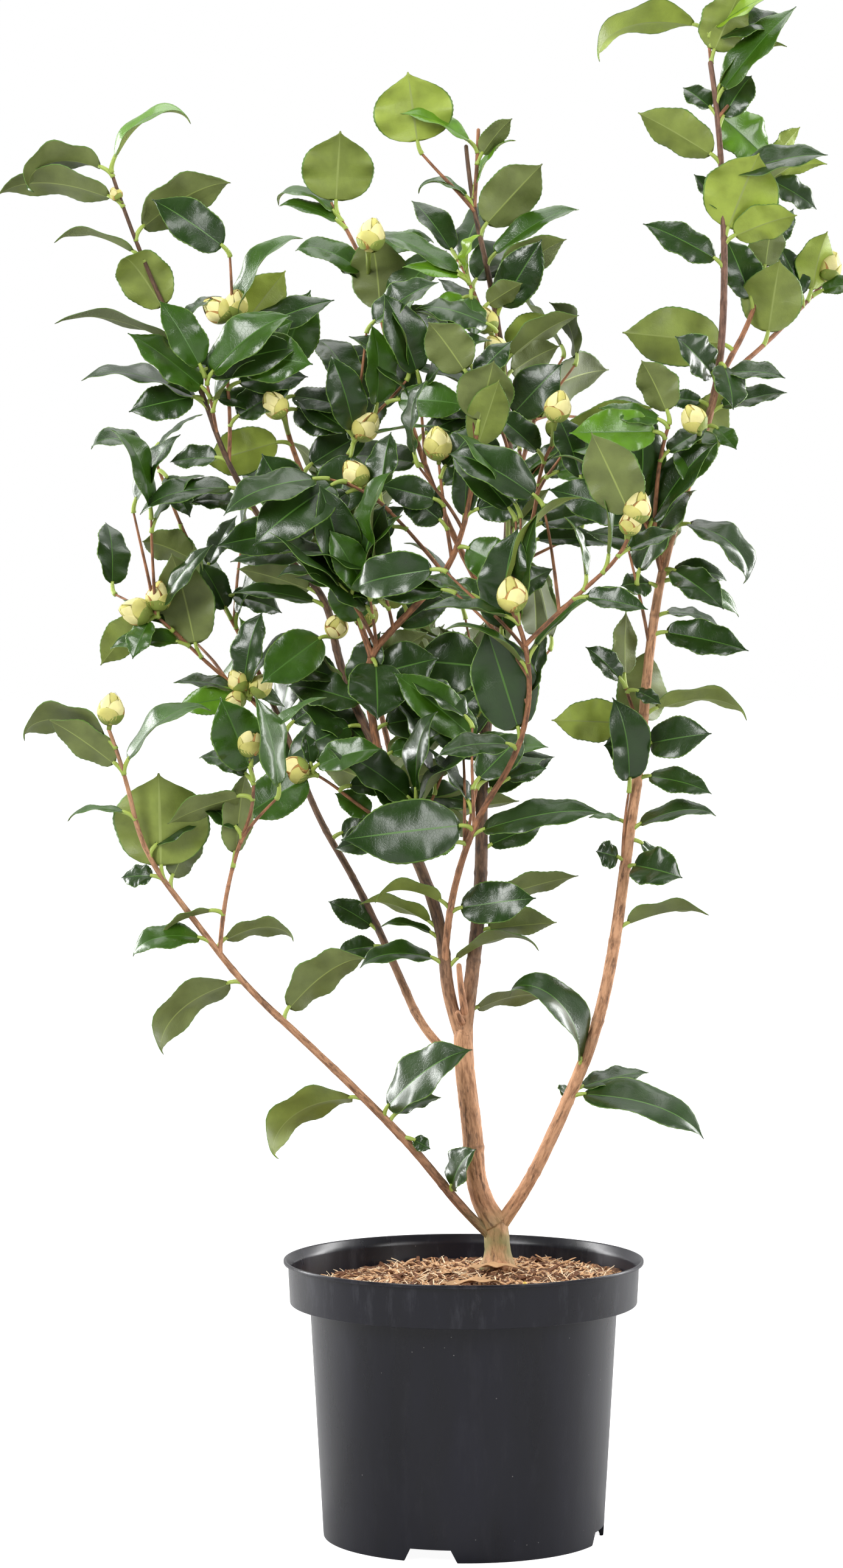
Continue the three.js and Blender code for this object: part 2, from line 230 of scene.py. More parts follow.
pot_low, pot_high = (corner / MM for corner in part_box("pot"))
RIM_RADIUS = (pot_high.x - pot_low.x) / 2
POT_HEIGHT = pot_high.z
LIP_DEPTH = 3
LIP_WIDTH = 2
LIP_FLARE = 6  # how far down the inner wall the lip spreads from
BAND_HEIGHT = 34
BAND_RADIUS = RIM_RADIUS - 5
BAND_TOP_RADIUS = RIM_RADIUS - 3.5
SHOULDER_RADIUS = 119.5
BASE_RADIUS = 109
WALL = 2.2
FOOT_RADIUS = 56  # the flat middle of the underside, inside a channel that drains to the notches
CHANNEL_HEIGHT = 11.2
SKIRT = 3
POT_FLOOR = 13.5
NOTCH_COUNT = 4
FIRST_NOTCH = -14  # degrees round from the front
NOTCH_HEIGHT = 10
NOTCH_REACH = (-118, -99)  # across the skirt, from outside it to within the channel
NOTCH_START = -2  # a little under the foot, so that the cut is clean
NOTCH_TOP_WIDTH = 32
NOTCH_FOOT_WIDTH = 44
POT_SIDES = 240
SHARP_ANGLE = 35  # edges turned by more than this stay crisp


def grid_faces(rows, columns, wrap=False):
    """Triangles between the rows of a grid of points, closed round when it wraps."""
    spans = columns if wrap else columns - 1
    row, column = np.meshgrid(np.arange(rows - 1), np.arange(spans), indexing="ij")
    a = (row * columns + column).ravel()
    b = (row * columns + (column + 1) % columns).ravel()
    c, d = a + columns, b + columns
    return np.concatenate([np.stack([a, b, c], 1), np.stack([b, d, c], 1)])


def closed_faces(rows, sides):
    """Triangles of a round skin of rings, closed at its start and its end by a point each."""
    k = np.arange(sides)
    after = (k + 1) % sides
    last = (rows - 1) * sides
    start, end = rows * sides, rows * sides + 1
    return np.concatenate([
        grid_faces(rows, sides, wrap=True),
        np.stack([np.full(sides, start), after, k], 1),
        np.stack([np.full(sides, end), last + k, last + after], 1)])


def rounded(outline, radii, steps=5):
    """The outline with each corner rounded to its own radius by a short arc."""
    result = []
    for i, corner in enumerate(outline):
        corner = np.array(corner, float)
        if radii[i] == 0:
            result.append(corner)
            continue
        before = np.array(outline[i - 1], float) - corner
        after = np.array(outline[i + 1], float) - corner
        reach = min(radii[i], 0.45 * np.linalg.norm(before), 0.45 * np.linalg.norm(after))
        start = corner + before / np.linalg.norm(before) * reach
        end = corner + after / np.linalg.norm(after) * reach
        for t in np.linspace(0, 1, steps):
            result.append((1 - t) ** 2 * start + 2 * t * (1 - t) * corner + t**2 * end)
    return np.array(result)


def turned(profile, sides):
    """A closed solid turned about the upright axis from a profile that starts and ends on it."""
    angles = np.linspace(0, 2 * math.pi, sides, endpoint=False)
    inner = profile[1:-1]
    ring = np.stack([np.cos(angles), np.sin(angles)], 1)
    points = np.concatenate([
        np.stack([r * ring[:, 0], r * ring[:, 1], np.full(sides, z)], 1) for r, z in inner])
    points = np.concatenate([points, [[0, 0, profile[0][1]], [0, 0, profile[-1][1]]]])
    return points, closed_faces(len(inner), sides)


def polypropylene():
    """Black moulded polypropylene: a satin grain, faint scuffs, dust, and a film on the band."""
    made, tree, shader = material("moulded_polypropylene")
    where = add(tree, "ShaderNodeTexCoord").outputs["Object"]
    grain = add(tree, "ShaderNodeTexNoise", {"Vector": where, "Scale": 1 / (1.6 * MM), "Detail": 2.0})
    scuff_map = add(tree, "ShaderNodeMapping", {"Vector": where, "Scale": (1, 1, 0.25)})
    scuffs = add(tree, "ShaderNodeTexNoise", {
        "Vector": scuff_map.outputs[0], "Scale": 1 / (34 * MM), "Detail": 6.0, "Roughness": 0.62})
    specks = add(tree, "ShaderNodeTexVoronoi", {"Vector": where, "Scale": 1 / (7 * MM)})
    dust = add(tree, "ShaderNodeValToRGB", {"Fac": specks.outputs["Distance"]},
               stops=((0.045, "ffffff"), (0.075, "000000")))
    sparse = add(tree, "ShaderNodeTexNoise", {"Vector": where, "Scale": 1 / (40 * MM), "Detail": 1.0})
    kept = add(tree, "ShaderNodeMath", {0: sparse.outputs["Fac"], 1: 0.6}, operation="GREATER_THAN")
    speck = add(tree, "ShaderNodeMath", {
        0: dust.outputs["Color"], 1: kept.outputs[0]}, operation="MULTIPLY")
    tint = add(tree, "ShaderNodeValToRGB", {"Fac": scuffs.outputs["Fac"]},
               stops=((0.35, "0b0b14"), (0.7, "12121e")))
    colour = add(tree, "ShaderNodeMix", {
        "Factor": speck.outputs[0], "A": tint.outputs["Color"], "B": linear("6d6b6a")}, data_type="RGBA")
    height = add(tree, "ShaderNodeSeparateXYZ", {"Vector": where})
    handled = add(tree, "ShaderNodeMapRange", {
        "Value": height.outputs["Z"], "From Min": 176 * MM, "From Max": 190 * MM, "To Min": 0.2})
    streaks = add(tree, "ShaderNodeTexNoise", {
        "Vector": scuff_map.outputs[0], "Scale": 1 / (12 * MM), "Detail": 5.0, "Roughness": 0.7})
    film = add(tree, "ShaderNodeMapRange", {
        "Value": streaks.outputs["Fac"], "From Min": 0.53, "From Max": 0.8, "To Max": 0.45})
    dusty = add(tree, "ShaderNodeMath", {0: film.outputs[0], 1: handled.outputs[0]}, operation="MULTIPLY")
    worn = add(tree, "ShaderNodeMix", {
        "Factor": dusty.outputs[0], "A": colour.outputs["Result"], "B": linear("4e4e55")}, data_type="RGBA")
    tree.links.new(worn.outputs["Result"], shader.inputs["Base Color"])
    gloss = add(tree, "ShaderNodeMapRange", {
        "Value": scuffs.outputs["Fac"], "From Min": 0.3, "From Max": 0.75, "To Min": 0.25, "To Max": 0.36})
    tree.links.new(gloss.outputs[0], shader.inputs["Roughness"])
    bump = add(tree, "ShaderNodeBump", {
        "Height": grain.outputs["Fac"], "Strength": 0.25, "Distance": 0.15 * MM})
    tree.links.new(bump.outputs[0], shader.inputs["Normal"])
    shader.inputs["IOR"].default_value = 1.49
    shader.inputs["Specular IOR Level"].default_value = 0.43
    return made


def make_pot():
    """The moulded shell, turned from its outline, with the notches cut through its skirt."""
    shoulder = POT_HEIGHT - BAND_HEIGHT
    ledge = shoulder + WALL
    lip_foot = POT_HEIGHT - LIP_DEPTH
    lower = BASE_RADIUS + (SHOULDER_RADIUS - BASE_RADIUS) * POT_FLOOR / shoulder - WALL
    outline = [
        (0, 0), (FOOT_RADIUS, 0), (FOOT_RADIUS, CHANNEL_HEIGHT), (BASE_RADIUS - SKIRT, CHANNEL_HEIGHT),
        (BASE_RADIUS - SKIRT, 0), (BASE_RADIUS, 0), (SHOULDER_RADIUS, shoulder), (BAND_RADIUS, shoulder),
        (BAND_TOP_RADIUS, lip_foot), (RIM_RADIUS, lip_foot), (RIM_RADIUS, POT_HEIGHT),
        (RIM_RADIUS - LIP_WIDTH, POT_HEIGHT), (BAND_TOP_RADIUS - WALL, POT_HEIGHT - LIP_FLARE),
        (BAND_RADIUS - WALL, ledge), (SHOULDER_RADIUS - WALL, ledge), (lower, POT_FLOOR), (0, POT_FLOOR),
    ]
    radii = [0, 1, 1, 1, 0.6, 1.5, 3, 1.2, 0.8, 1, 0.8, 0.8, 2, 2, 2, 1, 0]
    points, faces = turned(rounded(outline, radii), POT_SIDES)
    pot = mesh_object("pot_shell", points, faces, [polypropylene()])
    half_foot, half_top = NOTCH_FOOT_WIDTH / 2, NOTCH_TOP_WIDTH / 2
    corners = [
        (-half_foot, NOTCH_START), (half_foot, NOTCH_START),
        (half_top, NOTCH_HEIGHT), (-half_top, NOTCH_HEIGHT)]
    block = np.array([[x, y, z] for y in NOTCH_REACH for x, z in corners])
    sides = [[0, 1, 2], [0, 2, 3], [5, 4, 7], [5, 7, 6]]
    for k in range(4):
        j = (k + 1) % 4
        sides += [[k, k + 4, j], [j, k + 4, j + 4]]
    for i in range(NOTCH_COUNT):
        turn = math.radians(FIRST_NOTCH + 360 * i / NOTCH_COUNT)
        spin = np.array([
            [math.cos(turn), -math.sin(turn), 0], [math.sin(turn), math.cos(turn), 0], [0, 0, 1]])
        cutter = mesh_object(f"notch_{i}", block @ spin.T, sides, [], smooth=False)
        cut = pot.modifiers.new(f"notch_{i}", "BOOLEAN")
        cut.operation, cut.solver, cut.object = "DIFFERENCE", "EXACT", cutter
    cut_mesh = bpy.data.meshes.new_from_object(pot.evaluated_get(bpy.context.evaluated_depsgraph_get()))
    pot.modifiers.clear()
    pot.data = cut_mesh
    for i in range(NOTCH_COUNT):
        bpy.data.objects.remove(bpy.data.objects[f"notch_{i}"])
    cut_mesh.polygons.foreach_set("use_smooth", np.full(len(cut_mesh.polygons), True))
    cut_mesh.set_sharp_from_angle(angle=math.radians(SHARP_ANGLE))
    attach(pot, "root")
    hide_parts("pot")


make_pot()

# ---- Compost ------------------------------------------------------------------------------
# A dry top of coir chips, bark crumbs and pale fibres over dark compost, heaped a little round
# the trunk and sunk at the left. The chips are scattered loose on it and lie every way.

trunk_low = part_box("trunk")[0] / MM
TRUNK_FOOT_Z = trunk_low.z
FLARE_RADIUS = 14.4
TRUNK_X = trunk_low.x + FLARE_RADIUS
TRUNK_Y = trunk_low.y + FLARE_RADIUS
COMPOST_GAP = 0.4
COMPOST_RADIUS = BAND_RADIUS - WALL - COMPOST_GAP
COMPOST_LIFT = 0.5  # off the ledge inside the band
COMPOST_LOW = 189
COMPOST_RISE = 12
HEAP_HEIGHT = 8
HEAP_WIDTH = 48
COMPOST_RINGS = 70
COMPOST_SIDES = 220
CHIP_FREE_RINGS = 5  # next to the wall, so that no chip pokes through it
CHIP_SIDES = 5
CHIP_STATIONS = 5
CHIP_TILT = 0.75  # radians either way
NOISE_CELLS = (97, 97)


def smooth_noise(x, y, cells, seed):
    """Noise from 0 to 1 over whole-number cells, which repeats after so many across and along."""
    table = np.random.default_rng(seed).random(cells)
    i, j = np.floor(x).astype(int), np.floor(y).astype(int)
    u, v = x - i, y - j
    u, v = u * u * (3 - 2 * u), v * v * (3 - 2 * v)
    left, right = i % cells[0], (i + 1) % cells[0]
    near, far = j % cells[1], (j + 1) % cells[1]
    low = table[left, near] * (1 - u) + table[right, near] * u
    high = table[left, far] * (1 - u) + table[right, far] * u
    return low * (1 - v) + high * v


def compost_height(x, y):
    """How high the compost lies at a place: sloped, heaped at the trunk, and crumbly."""
    reach = BAND_RADIUS
    slope = COMPOST_LOW + COMPOST_RISE * (0.5 + 0.4 * (x / reach) + 0.1 * (y / reach))
    away = np.hypot(x - TRUNK_X, y - TRUNK_Y)
    heap = HEAP_HEIGHT * np.exp(-((away / HEAP_WIDTH) ** 2))
    crumble = 1.1 * np.sin(x * 0.11 + 1) * np.cos(y * 0.13) + 0.7 * np.sin(x * 0.05 - y * 0.19)
    crumbs = 2.2 * (smooth_noise(x / 6 + 40, y / 6 + 40, NOISE_CELLS, 3) - 0.5)
    crumbs = crumbs + 1.4 * (smooth_noise(x / 2.4 + 99, y / 2.4 + 99, NOISE_CELLS, 4) - 0.5)
    return slope + heap + crumble * np.minimum(1, away / HEAP_WIDTH) + crumbs


def plain(name, colour, roughness):
    """A material with the same colour and gloss all over."""
    made, _, shader = material(name)
    shader.inputs["Base Color"].default_value = linear(colour)
    shader.inputs["Roughness"].default_value = roughness
    return made


def damp_compost():
    """Fine dark crumb, dull all over, that shows in the gaps between the chips."""
    made, tree, shader = material("damp_peat_crumb")
    where = add(tree, "ShaderNodeTexCoord").outputs["Object"]
    crumb = add(tree, "ShaderNodeTexNoise", {"Vector": where, "Scale": 1 / (3 * MM), "Detail": 5.0})
    tint = add(tree, "ShaderNodeValToRGB", {"Fac": crumb.outputs["Fac"]},
               stops=((0.35, "3a2418"), (0.7, "8a6040")))
    tree.links.new(tint.outputs["Color"], shader.inputs["Base Color"])
    shader.inputs["Roughness"].default_value = 0.95
    return made


def chip_shape(name, length, width, thick, bend, seed):
    """One splinter: a bent prism with ragged ends, as a hidden mesh to be scattered."""
    draw = np.random.default_rng(seed)
    rings = []
    for i in range(CHIP_STATIONS):
        t = i / (CHIP_STATIONS - 1)
        taper = 0.45 + 0.55 * math.sin(math.pi * (0.12 + 0.76 * t))
        for k in range(CHIP_SIDES):
            angle = 2 * math.pi * k / CHIP_SIDES
            ragged = draw.uniform(0.7, 1.25)
            rings.append([
                (t - 0.5) * length + draw.uniform(-0.06, 0.06) * length,
                width / 2 * math.cos(angle) * taper * ragged,
                thick / 2 * math.sin(angle) * taper * ragged + bend * math.sin(math.pi * t)])
    points = np.array(rings + [[-length / 2, 0, 0], [length / 2, 0, 0]])
    faces = closed_faces(CHIP_STATIONS, CHIP_SIDES)[:, ::-1]
    return mesh_object(name, points, faces, [], smooth=False)


def scatter(name, ground, chips, finish, count_per_m2, seed, sizes):
    """Chips dealt out over the ground mesh by Geometry Nodes, every one turned and sized at random."""
    shelf = bpy.data.collections.new(name + "_shapes")
    for chip in chips:
        bpy.context.scene.collection.objects.unlink(chip)
        shelf.objects.link(chip)
    tree = bpy.data.node_groups.new(name, "GeometryNodeTree")
    tree.interface.new_socket("Ground", in_out="INPUT", socket_type="NodeSocketGeometry")
    values = {
        "Chips per square metre": float(count_per_m2), "Smallest size": sizes[0], "Largest size": sizes[1]}
    sockets = {}
    for title in values:
        sockets[title] = tree.interface.new_socket(title, in_out="INPUT", socket_type="NodeSocketFloat")
    tree.interface.new_socket("Geometry", in_out="OUTPUT", socket_type="NodeSocketGeometry")
    start = add(tree, "NodeGroupInput")
    spots = add(tree, "GeometryNodeDistributePointsOnFaces", {
        "Mesh": start.outputs["Ground"], "Density": start.outputs["Chips per square metre"], "Seed": seed})
    shapes = add(tree, "GeometryNodeCollectionInfo", {
        "Collection": shelf, "Separate Children": True, "Reset Children": True})
    turn = add(tree, "FunctionNodeRandomValue", {
        "Min": (-CHIP_TILT, -CHIP_TILT, 0), "Max": (CHIP_TILT, CHIP_TILT, 6.283), "Seed": seed + 1},
        data_type="FLOAT_VECTOR")
    grown = add(tree, "FunctionNodeRandomValue", {
        2: start.outputs["Smallest size"], 3: start.outputs["Largest size"], "Seed": seed + 2},
        data_type="FLOAT")
    placed = add(tree, "GeometryNodeInstanceOnPoints", {
        "Points": spots.outputs["Points"], "Instance": shapes.outputs[0], "Pick Instance": True,
        "Rotation": turn.outputs["Value"], "Scale": grown.outputs[1]})
    whole = add(tree, "GeometryNodeRealizeInstances", {"Geometry": placed.outputs[0]})
    coloured = add(tree, "GeometryNodeSetMaterial", {"Geometry": whole.outputs[0], "Material": finish})
    add(tree, "NodeGroupOutput", {"Geometry": coloured.outputs[0]})
    piece = ground.copy()
    piece.name = name
    bpy.context.scene.collection.objects.link(piece)
    nodes = piece.modifiers.new(name, "NODES")
    nodes.node_group = tree
    for title, value in values.items():
        nodes[sockets[title].identifier] = value
    result = bpy.data.meshes.new_from_object(piece.evaluated_get(bpy.context.evaluated_depsgraph_get()))
    piece.modifiers.clear()
    piece.data = result
    for chip in chips:
        bpy.data.objects.remove(chip)
    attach(piece, "root")


def make_compost():
    """The heaped body down to the pot's ledge, and the three kinds of chip strewn over it."""
    radii = np.linspace(COMPOST_RADIUS, 0, COMPOST_RINGS, endpoint=False)
    angles = np.linspace(0, 2 * math.pi, COMPOST_SIDES, endpoint=False)
    r, a = np.meshgrid(radii, angles, indexing="ij")
    x, y = (r * np.cos(a)).ravel(), (r * np.sin(a)).ravel()
    top = np.stack([x, y, compost_height(x, y)], 1)
    skirt = top[:COMPOST_SIDES].copy()
    skirt[:, 2] = POT_HEIGHT - BAND_HEIGHT + WALL + COMPOST_LIFT
    middle = float(compost_height(np.zeros(1), np.zeros(1))[0])
    points = np.concatenate([skirt, top, [[0, 0, skirt[0, 2]], [0, 0, middle]]])
    faces = closed_faces(COMPOST_RINGS + 1, COMPOST_SIDES)
    body = mesh_object("compost_body", points, faces, [damp_compost()])
    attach(body, "root")
    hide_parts("compost")
    inner = top[CHIP_FREE_RINGS * COMPOST_SIDES:]
    ground_faces = grid_faces(COMPOST_RINGS - CHIP_FREE_RINGS, COMPOST_SIDES, wrap=True)
    ground = mesh_object("compost_surface", inner, ground_faces, [])
    coir = [chip_shape(f"coir_{i}", 7 + i, 1.5, 0.8, 0.5 + 0.3 * i, 10 + i) for i in range(4)]
    scatter("coir_chips", ground, coir, plain("dry_coir", "cfa57c", 0.9), 44000, 1, (0.4, 1.6))
    bark = [chip_shape(f"bark_{i}", 6 + i, 2.6, 1.2, 0.4, 20 + i) for i in range(3)]
    scatter("bark_crumbs", ground, bark, plain("composted_bark", "6f4a33", 0.95), 24000, 5, (0.4, 1.9))
    pale = [chip_shape(f"pale_{i}", 9 + 2 * i, 0.8, 0.5, 1.2, 30 + i) for i in range(3)]
    scatter("pale_fibres", ground, pale, plain("bleached_fibre", "f0d9b8", 0.9), 26000, 9, (0.4, 1.5))
    bpy.data.objects.remove(ground)


make_compost()

# ---- Trunk, stems and boughs --------------------------------------------------------------
# Living wood that forks low down. Each limb starts out of the one below it with a slight collar,
# tapers, and turns as it grew. Fine fissures run along the old wood, and every node left a ring.

SUNK = 4  # how far the bark goes on below the plain trunk, into the compost
TRUNK_FOOT = np.array([TRUNK_X, TRUNK_Y, TRUNK_FOOT_Z - SUNK])
ROOT_FLARE = 4
FLARE_HEIGHT = 9
GROWTH_STEP = 3
NODE_SPACING = 27
ALGAE_FULL = 226  # up to this height the bark is green, and above the next it is not
ALGAE_END = 256
BARK_FIT = 0.92  # the skin lies a little inside the plain limb, so that its lumps stand out to it
LIMBS = [
    # name, grows from, how far up it, length, lean at even steps, how far back, foot and end radius
    ("trunk", None, 0, 36, [0, -6], [0], 10.4, 9.6),
    ("stem_centre", "trunk", 1, 152, [-35, -3, -8, -1], [-2], 9.2, 8.2),
    ("stem_right", "trunk", 0.86, 934, [38, 25, 22, 11, 7, 8, 4, 8, 17, 18, 4, -1, -4, -9],
     [-3, -2, -2], 6.0, 2.2),
    ("bough_left_low", "trunk", 0.6, 524, [-47, -37, -43, -45, -46, -36, -36, -11, -20], [-14], 4.3, 1.6),
    ("stem_right_centre", "stem_centre", 1, 712, [9, 6, 0, 5, 9, 3, -2, -8, -13, -5], [8], 6.4, 1.8),
    ("stem_left_centre", "stem_centre", 0.98, 238, [-24, -4, -20, -27, -7], [5], 5.6, 4.6),
    ("bough_left_thin", "stem_centre", 0.84, 345, [-58, -24, -25, -32, -19, -28], [17], 3.9, 2.3),
    ("bough_left_fork", "stem_left_centre", 1, 156, [-30, -21, -9, -52], [7], 3.9, 3.0),
    ("stem_upper_left", "bough_left_fork", 1, 349, [-40, -31, -18, -25, -22, -17], [-16], 2.8, 1.5),
    ("bough_centre", "stem_left_centre", 0.98, 289, [-8, -11, 43, 45, 20, 8, 3],
     [-4, -8, -26, -26], 3.7, 1.8),
    ("bough_left_upper", "bough_centre", 0.271, 204, [-18, -21, -20, -24, -13], [8, 10], 2.8, 2.1),
    ("bough_front", "stem_left_centre", 0.26, 332, [2, 10, 20, 33, 13, -8, -31], [-26], 3.2, 1.9),
    ("bough_front_fork", "bough_front", 0.875, 126, [44, 47, 48, 17], [-20], 2.0, 1.5),
    ("bough_centre_upper", "stem_right_centre", 0.461, 373, [-32, -27, -22, -18, -16, -14, -24, -32],
     [8, 10, 16, 20], 2.9, 1.6),
    ("bough_right_side", "stem_right", 0.574, 126, [-20, 0, 5, 17], [-24], 2.2, 1.5),
    ("bough_right_fork", "stem_right", 0.732, 137, [25, 30, 19, 15], [30, 34], 2.6, 1.8),
    ("bough_left_low_shoot", "bough_left_low", 0.62, 162, [3, 12, 22, -14], [-19], 2.0, 1.3),
    ("bough_back_low", "stem_right_centre", 0.109, 214, [6, 2, 4], [44, 40, 34], 3.2, 2.0),
    ("bough_back_left", "stem_left_centre", 0.74, 200, [-6, -14, -12], [46, 40, 32], 3.0, 1.9),
    ("bough_back_upper", "stem_right_centre", 0.562, 120, [10, 18], [42, 36], 2.4, 1.8),
]
WAYS = {}  # each limb's centre line, as it grows
RADII = {}  # at its foot and at its end
RING_CELLS = 509
OLD_ROWS = 1.5  # between the rings of a thick limb's skin
YOUNG_ROWS = 2.2
END_DOME = (20, 40, 60, 75, 87)  # degrees, ring by ring, round the end of a limb
COLLAR = 0.28  # how much thicker a limb starts than its foot radius
NODE_SWELLING = 0.09
FISSURE_WIDTH = 2.4
FISSURE_LENGTH = 11
LUMP_LENGTH = 26
FINE_LENGTH = 3.2
OLD_RELIEF = 0.05
YOUNG_RELIEF = 0.025


def between(values, t):
    """The values at t, from 0 to 1, along a list of evenly spaced ones."""
    return np.interp(np.asarray(t) * (len(values) - 1), range(len(values)), values)


def heading(lean, back):
    """The way that leans so far to the right of upright and turns so far back, in degrees."""
    a, b = np.radians(lean), np.radians(back)
    return np.stack([np.sin(a) * np.cos(b), np.sin(b), np.cos(a) * np.cos(b)], -1)


def spot(name, at):
    """The point at a share of the length of a limb that has grown."""
    way = WAYS[name]
    place = at * (len(way) - 1)
    i = min(int(place), len(way) - 2)
    return way[i] + (way[i + 1] - way[i]) * (place - i)


def limb_way(name, at):
    """The direction in which a limb grows at a share of its length."""
    step = spot(name, min(1, at + 0.02)) - spot(name, max(0, at - 0.02))
    return step / np.linalg.norm(step)


def grow(name, parent, at, length, lean, back, foot_radius, end_radius):
    """Lay down the centre line and the radii of a limb that starts out of another."""
    steps = max(8, round(length / GROWTH_STEP))
    t = (np.arange(steps) + 0.5) / steps
    way = heading(between(lean, t), between(back, t)) * length / steps
    foot = TRUNK_FOOT if parent is None else spot(parent, at)
    WAYS[name] = foot + np.concatenate([[[0, 0, 0]], np.cumsum(way, 0)])
    RADII[name] = (foot_radius, end_radius)


def ring_noise(around, along, cells, seed):
    """Smooth noise that meets itself round a limb."""
    return smooth_noise(around * cells, along, (cells, RING_CELLS), seed)


def tube(way, radii, sides):
    """Rings of points round a way, closed at both ends, and the triangles of their skin."""
    ahead = np.gradient(way, axis=0)
    ahead /= np.linalg.norm(ahead, axis=1)[:, None]
    side = np.cross([0, 1, 0], ahead[0])
    side /= np.linalg.norm(side)
    across = []
    for tangent in ahead:
        side = side - tangent * (side @ tangent)
        side = side / np.linalg.norm(side)
        across.append(side)
    across = np.array(across)
    up = np.cross(ahead, across)
    turn = 2 * np.pi * np.arange(sides) / sides
    ring = across[:, None] * np.cos(turn)[None, :, None] + up[:, None] * np.sin(turn)[None, :, None]
    points = way[:, None] + ring * np.broadcast_to(np.asarray(radii), (len(way), sides))[:, :, None]
    points = np.concatenate([points.reshape(-1, 3), way[:1], way[-1:]])
    return points, closed_faces(len(way), sides)


def bark(name, low_light, low_dark, high_light, high_dark, change, relief):
    """Bark whose light and dark change with height, with long fine fissures, algae and grey age."""
    made, tree, shader = material(name)
    grain = add(tree, "ShaderNodeAttribute", attribute_name="grain").outputs["Vector"]
    where = add(tree, "ShaderNodeTexCoord").outputs["Object"]
    long = add(tree, "ShaderNodeMapping", {"Vector": grain, "Scale": (1, 1, 0.22)})
    streak = add(tree, "ShaderNodeTexNoise", {
        "Vector": long.outputs[0], "Scale": 1 / (2.6 * MM), "Detail": 6.0, "Roughness": 0.65})
    patch = add(tree, "ShaderNodeTexNoise", {"Vector": where, "Scale": 1 / (22 * MM), "Detail": 3.0})
    height = add(tree, "ShaderNodeSeparateXYZ", {"Vector": where})
    rise = add(tree, "ShaderNodeMapRange", {
        "Value": height.outputs["Z"], "From Min": change * MM, "From Max": (change + 90) * MM})
    low = add(tree, "ShaderNodeValToRGB", {"Fac": streak.outputs["Fac"]},
              stops=((0.38, low_dark), (0.58, low_light)))
    high = add(tree, "ShaderNodeValToRGB", {"Fac": streak.outputs["Fac"]},
               stops=((0.38, high_dark), (0.58, high_light)))
    wood = add(tree, "ShaderNodeMix", {
        "Factor": rise.outputs[0], "A": low.outputs["Color"], "B": high.outputs["Color"]},
        data_type="RGBA")
    damp = add(tree, "ShaderNodeMapRange", {
        "Value": height.outputs["Z"], "From Min": ALGAE_END * MM, "From Max": ALGAE_FULL * MM})
    green = add(tree, "ShaderNodeMapRange", {
        "Value": patch.outputs["Fac"], "From Min": 0.3, "From Max": 0.55, "To Max": 0.85})
    algae = add(tree, "ShaderNodeMath", {0: damp.outputs[0], 1: green.outputs[0]}, operation="MULTIPLY")
    tinted = add(tree, "ShaderNodeMix", {
        "Factor": algae.outputs[0], "A": wood.outputs["Result"], "B": linear("7f8050")},
        data_type="RGBA")
    grey = add(tree, "ShaderNodeMapRange", {
        "Value": patch.outputs["Fac"], "From Min": 0.6, "From Max": 0.75, "To Max": 0.4})
    aged = add(tree, "ShaderNodeMix", {
        "Factor": grey.outputs[0], "A": tinted.outputs["Result"], "B": linear("857564")},
        data_type="RGBA")
    cracks = add(tree, "ShaderNodeTexNoise", {
        "Vector": long.outputs[0], "Scale": 1 / (4.5 * MM), "Detail": 4.0, "Roughness": 0.7})
    crack = add(tree, "ShaderNodeMapRange", {
        "Value": cracks.outputs["Fac"], "From Min": 0.45, "From Max": 0.38, "To Max": 0.7})
    scar = add(tree, "ShaderNodeAttribute", attribute_name="scar")
    dark = add(tree, "ShaderNodeMath", {0: crack.outputs[0], 1: scar.outputs["Fac"]}, operation="MAXIMUM")
    marked = add(tree, "ShaderNodeMix", {
        "Factor": dark.outputs[0], "A": aged.outputs["Result"], "B": linear("553d2e")}, data_type="RGBA")
    tree.links.new(marked.outputs["Result"], shader.inputs["Base Color"])
    shader.inputs["Roughness"].default_value = 0.78
    bump = add(tree, "ShaderNodeBump", {
        "Height": streak.outputs["Fac"], "Strength": 0.7, "Distance": relief * MM})
    tree.links.new(bump.outputs[0], shader.inputs["Normal"])
    return made


